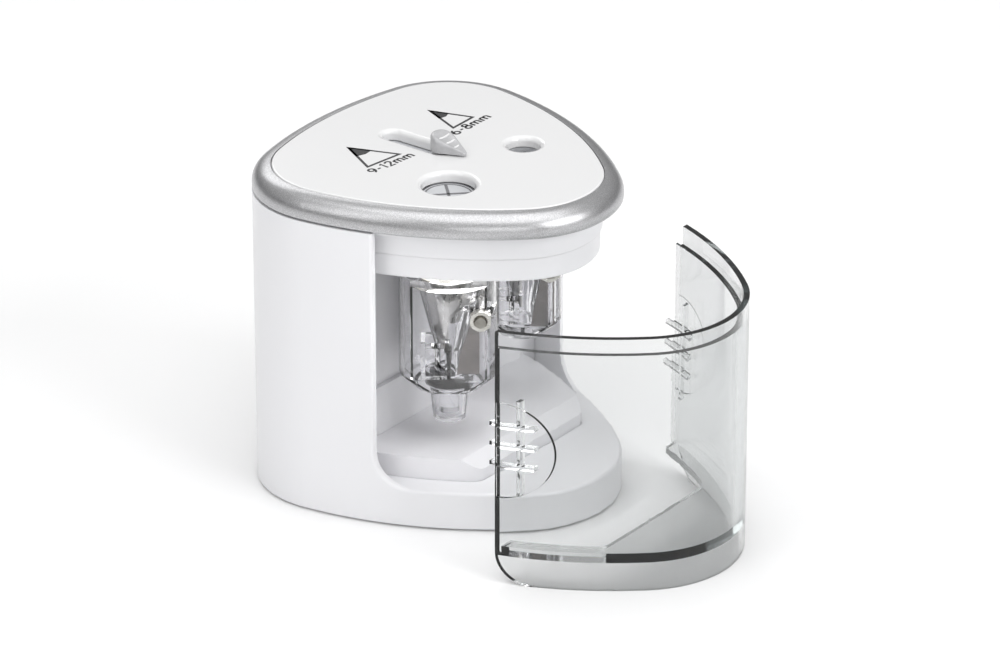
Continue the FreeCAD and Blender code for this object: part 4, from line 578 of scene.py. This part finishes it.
BLADE_BEARING = math.radians(-142.55)
for size in ("large", "small"):
    hex_nut(f"{size}_nut", f"{size}_blade_nut", f"{size}_cutter", BLADE_BEARING)

turned("lead_stop", [(0.75, 38.0), (0.95, 39.6), (1.35, 43.3), (1.35, 43.5)], ink, "large_cutter",
       "black_plastic", *SPINDLE)

# ------------------------------------------------------------------ floor, light and camera

floor_mesh = bpy.data.meshes.new("floor")
floor_mesh.from_pydata([(-4, -4, 0), (4, -4, 0), (4, 4, 0), (-4, 4, 0)], [], [(0, 1, 2, 3)])
floor = bpy.data.objects.new("floor", floor_mesh)
bpy.context.scene.collection.objects.link(floor)
floor_look = Look("floor_paper", (0.96, 0.96, 0.96), 0.6, Specular_IOR_Level=0.3)
floor_look.tint(floor_look.noise(0.4, 3.0), (0.95, 0.95, 0.952))
floor_look.bump(floor_look.noise(0.0015, 4.0), 0.00002)
floor_mesh.materials.append(floor_look.material)


def softbox(name, azimuth, elevation, distance, width, height, power, aim=(0.0, -0.01, 0.045)):
    """An area light that stands round the object; azimuth 0 is in front, on -Y, and 90 on +X."""
    light = bpy.data.lights.new(name, "AREA")
    light.shape = "RECTANGLE"
    light.size, light.size_y, light.energy = width, height, power
    lamp = bpy.data.objects.new(name, light)
    bpy.context.scene.collection.objects.link(lamp)
    az, el = math.radians(azimuth), math.radians(elevation)
    away = Vector((math.sin(az) * math.cos(el), -math.cos(az) * math.cos(el), math.sin(el)))
    lamp.location = Vector(aim) + away * distance
    lamp.rotation_euler = away.to_track_quat("Z", "Y").to_euler()


softbox("light_top", -20, 80, 1.2, 1.2, 1.2, 7.5)
softbox("light_key", -100, 38, 1.3, 0.5, 0.9, 2.2)
softbox("light_fill", 2, 27, 1.5, 1.0, 0.8, 10)
softbox("light_front", -50, 16, 1.9, 0.9, 0.6, 3.5)
softbox("light_chamber", 0, 88, 0.021, 0.05, 0.02, 0.014, (-0.006, -0.02, 0.045))
softbox("light_rear", 150, 35, 1.5, 0.8, 0.6, 3)

world = bpy.data.worlds.new("studio")
bpy.context.scene.world = world
world.use_nodes = True
sky = world.node_tree
background = sky.nodes["Background"]
ramp = sky.nodes.new("ShaderNodeValToRGB")
split = sky.nodes.new("ShaderNodeSeparateXYZ")
where = sky.nodes.new("ShaderNodeTexCoord")
sky.links.new(where.outputs["Generated"], split.inputs["Vector"])
sky.links.new(split.outputs["Z"], ramp.inputs["Fac"])
sky.links.new(ramp.outputs["Color"], background.inputs["Color"])
ramp.color_ramp.elements[0].position = 0.0
ramp.color_ramp.elements[0].color = (0.28, 0.28, 0.285, 1)
ramp.color_ramp.elements[1].position = 0.55
ramp.color_ramp.elements[1].color = (1, 1, 1, 1)
background.inputs["Strength"].default_value = 0.5

AZIMUTH, ELEVATION = math.radians(-52.55), math.radians(25.4)
DISTANCE, ASIDE, ABOVE = 1.6006, 0.01197, 0.0345
right = Vector((math.cos(AZIMUTH), math.sin(AZIMUTH), 0))
back = Vector((math.sin(AZIMUTH) * math.cos(ELEVATION), -math.cos(AZIMUTH) * math.cos(ELEVATION),
               math.sin(ELEVATION)))
up = back.cross(right)
lens = bpy.data.cameras.new("camera")
lens.lens, lens.sensor_width = 214.6, 36.0
lens.clip_start, lens.clip_end = 0.1, 20
camera = bpy.data.objects.new("camera", lens)
bpy.context.scene.collection.objects.link(camera)
camera.matrix_world = (Matrix.Translation(right * ASIDE + up * ABOVE + back * DISTANCE)
                       @ Matrix((right, up, back)).transposed().to_4x4())
bpy.context.scene.camera = camera
bpy.context.scene.view_settings.view_transform = "Standard"
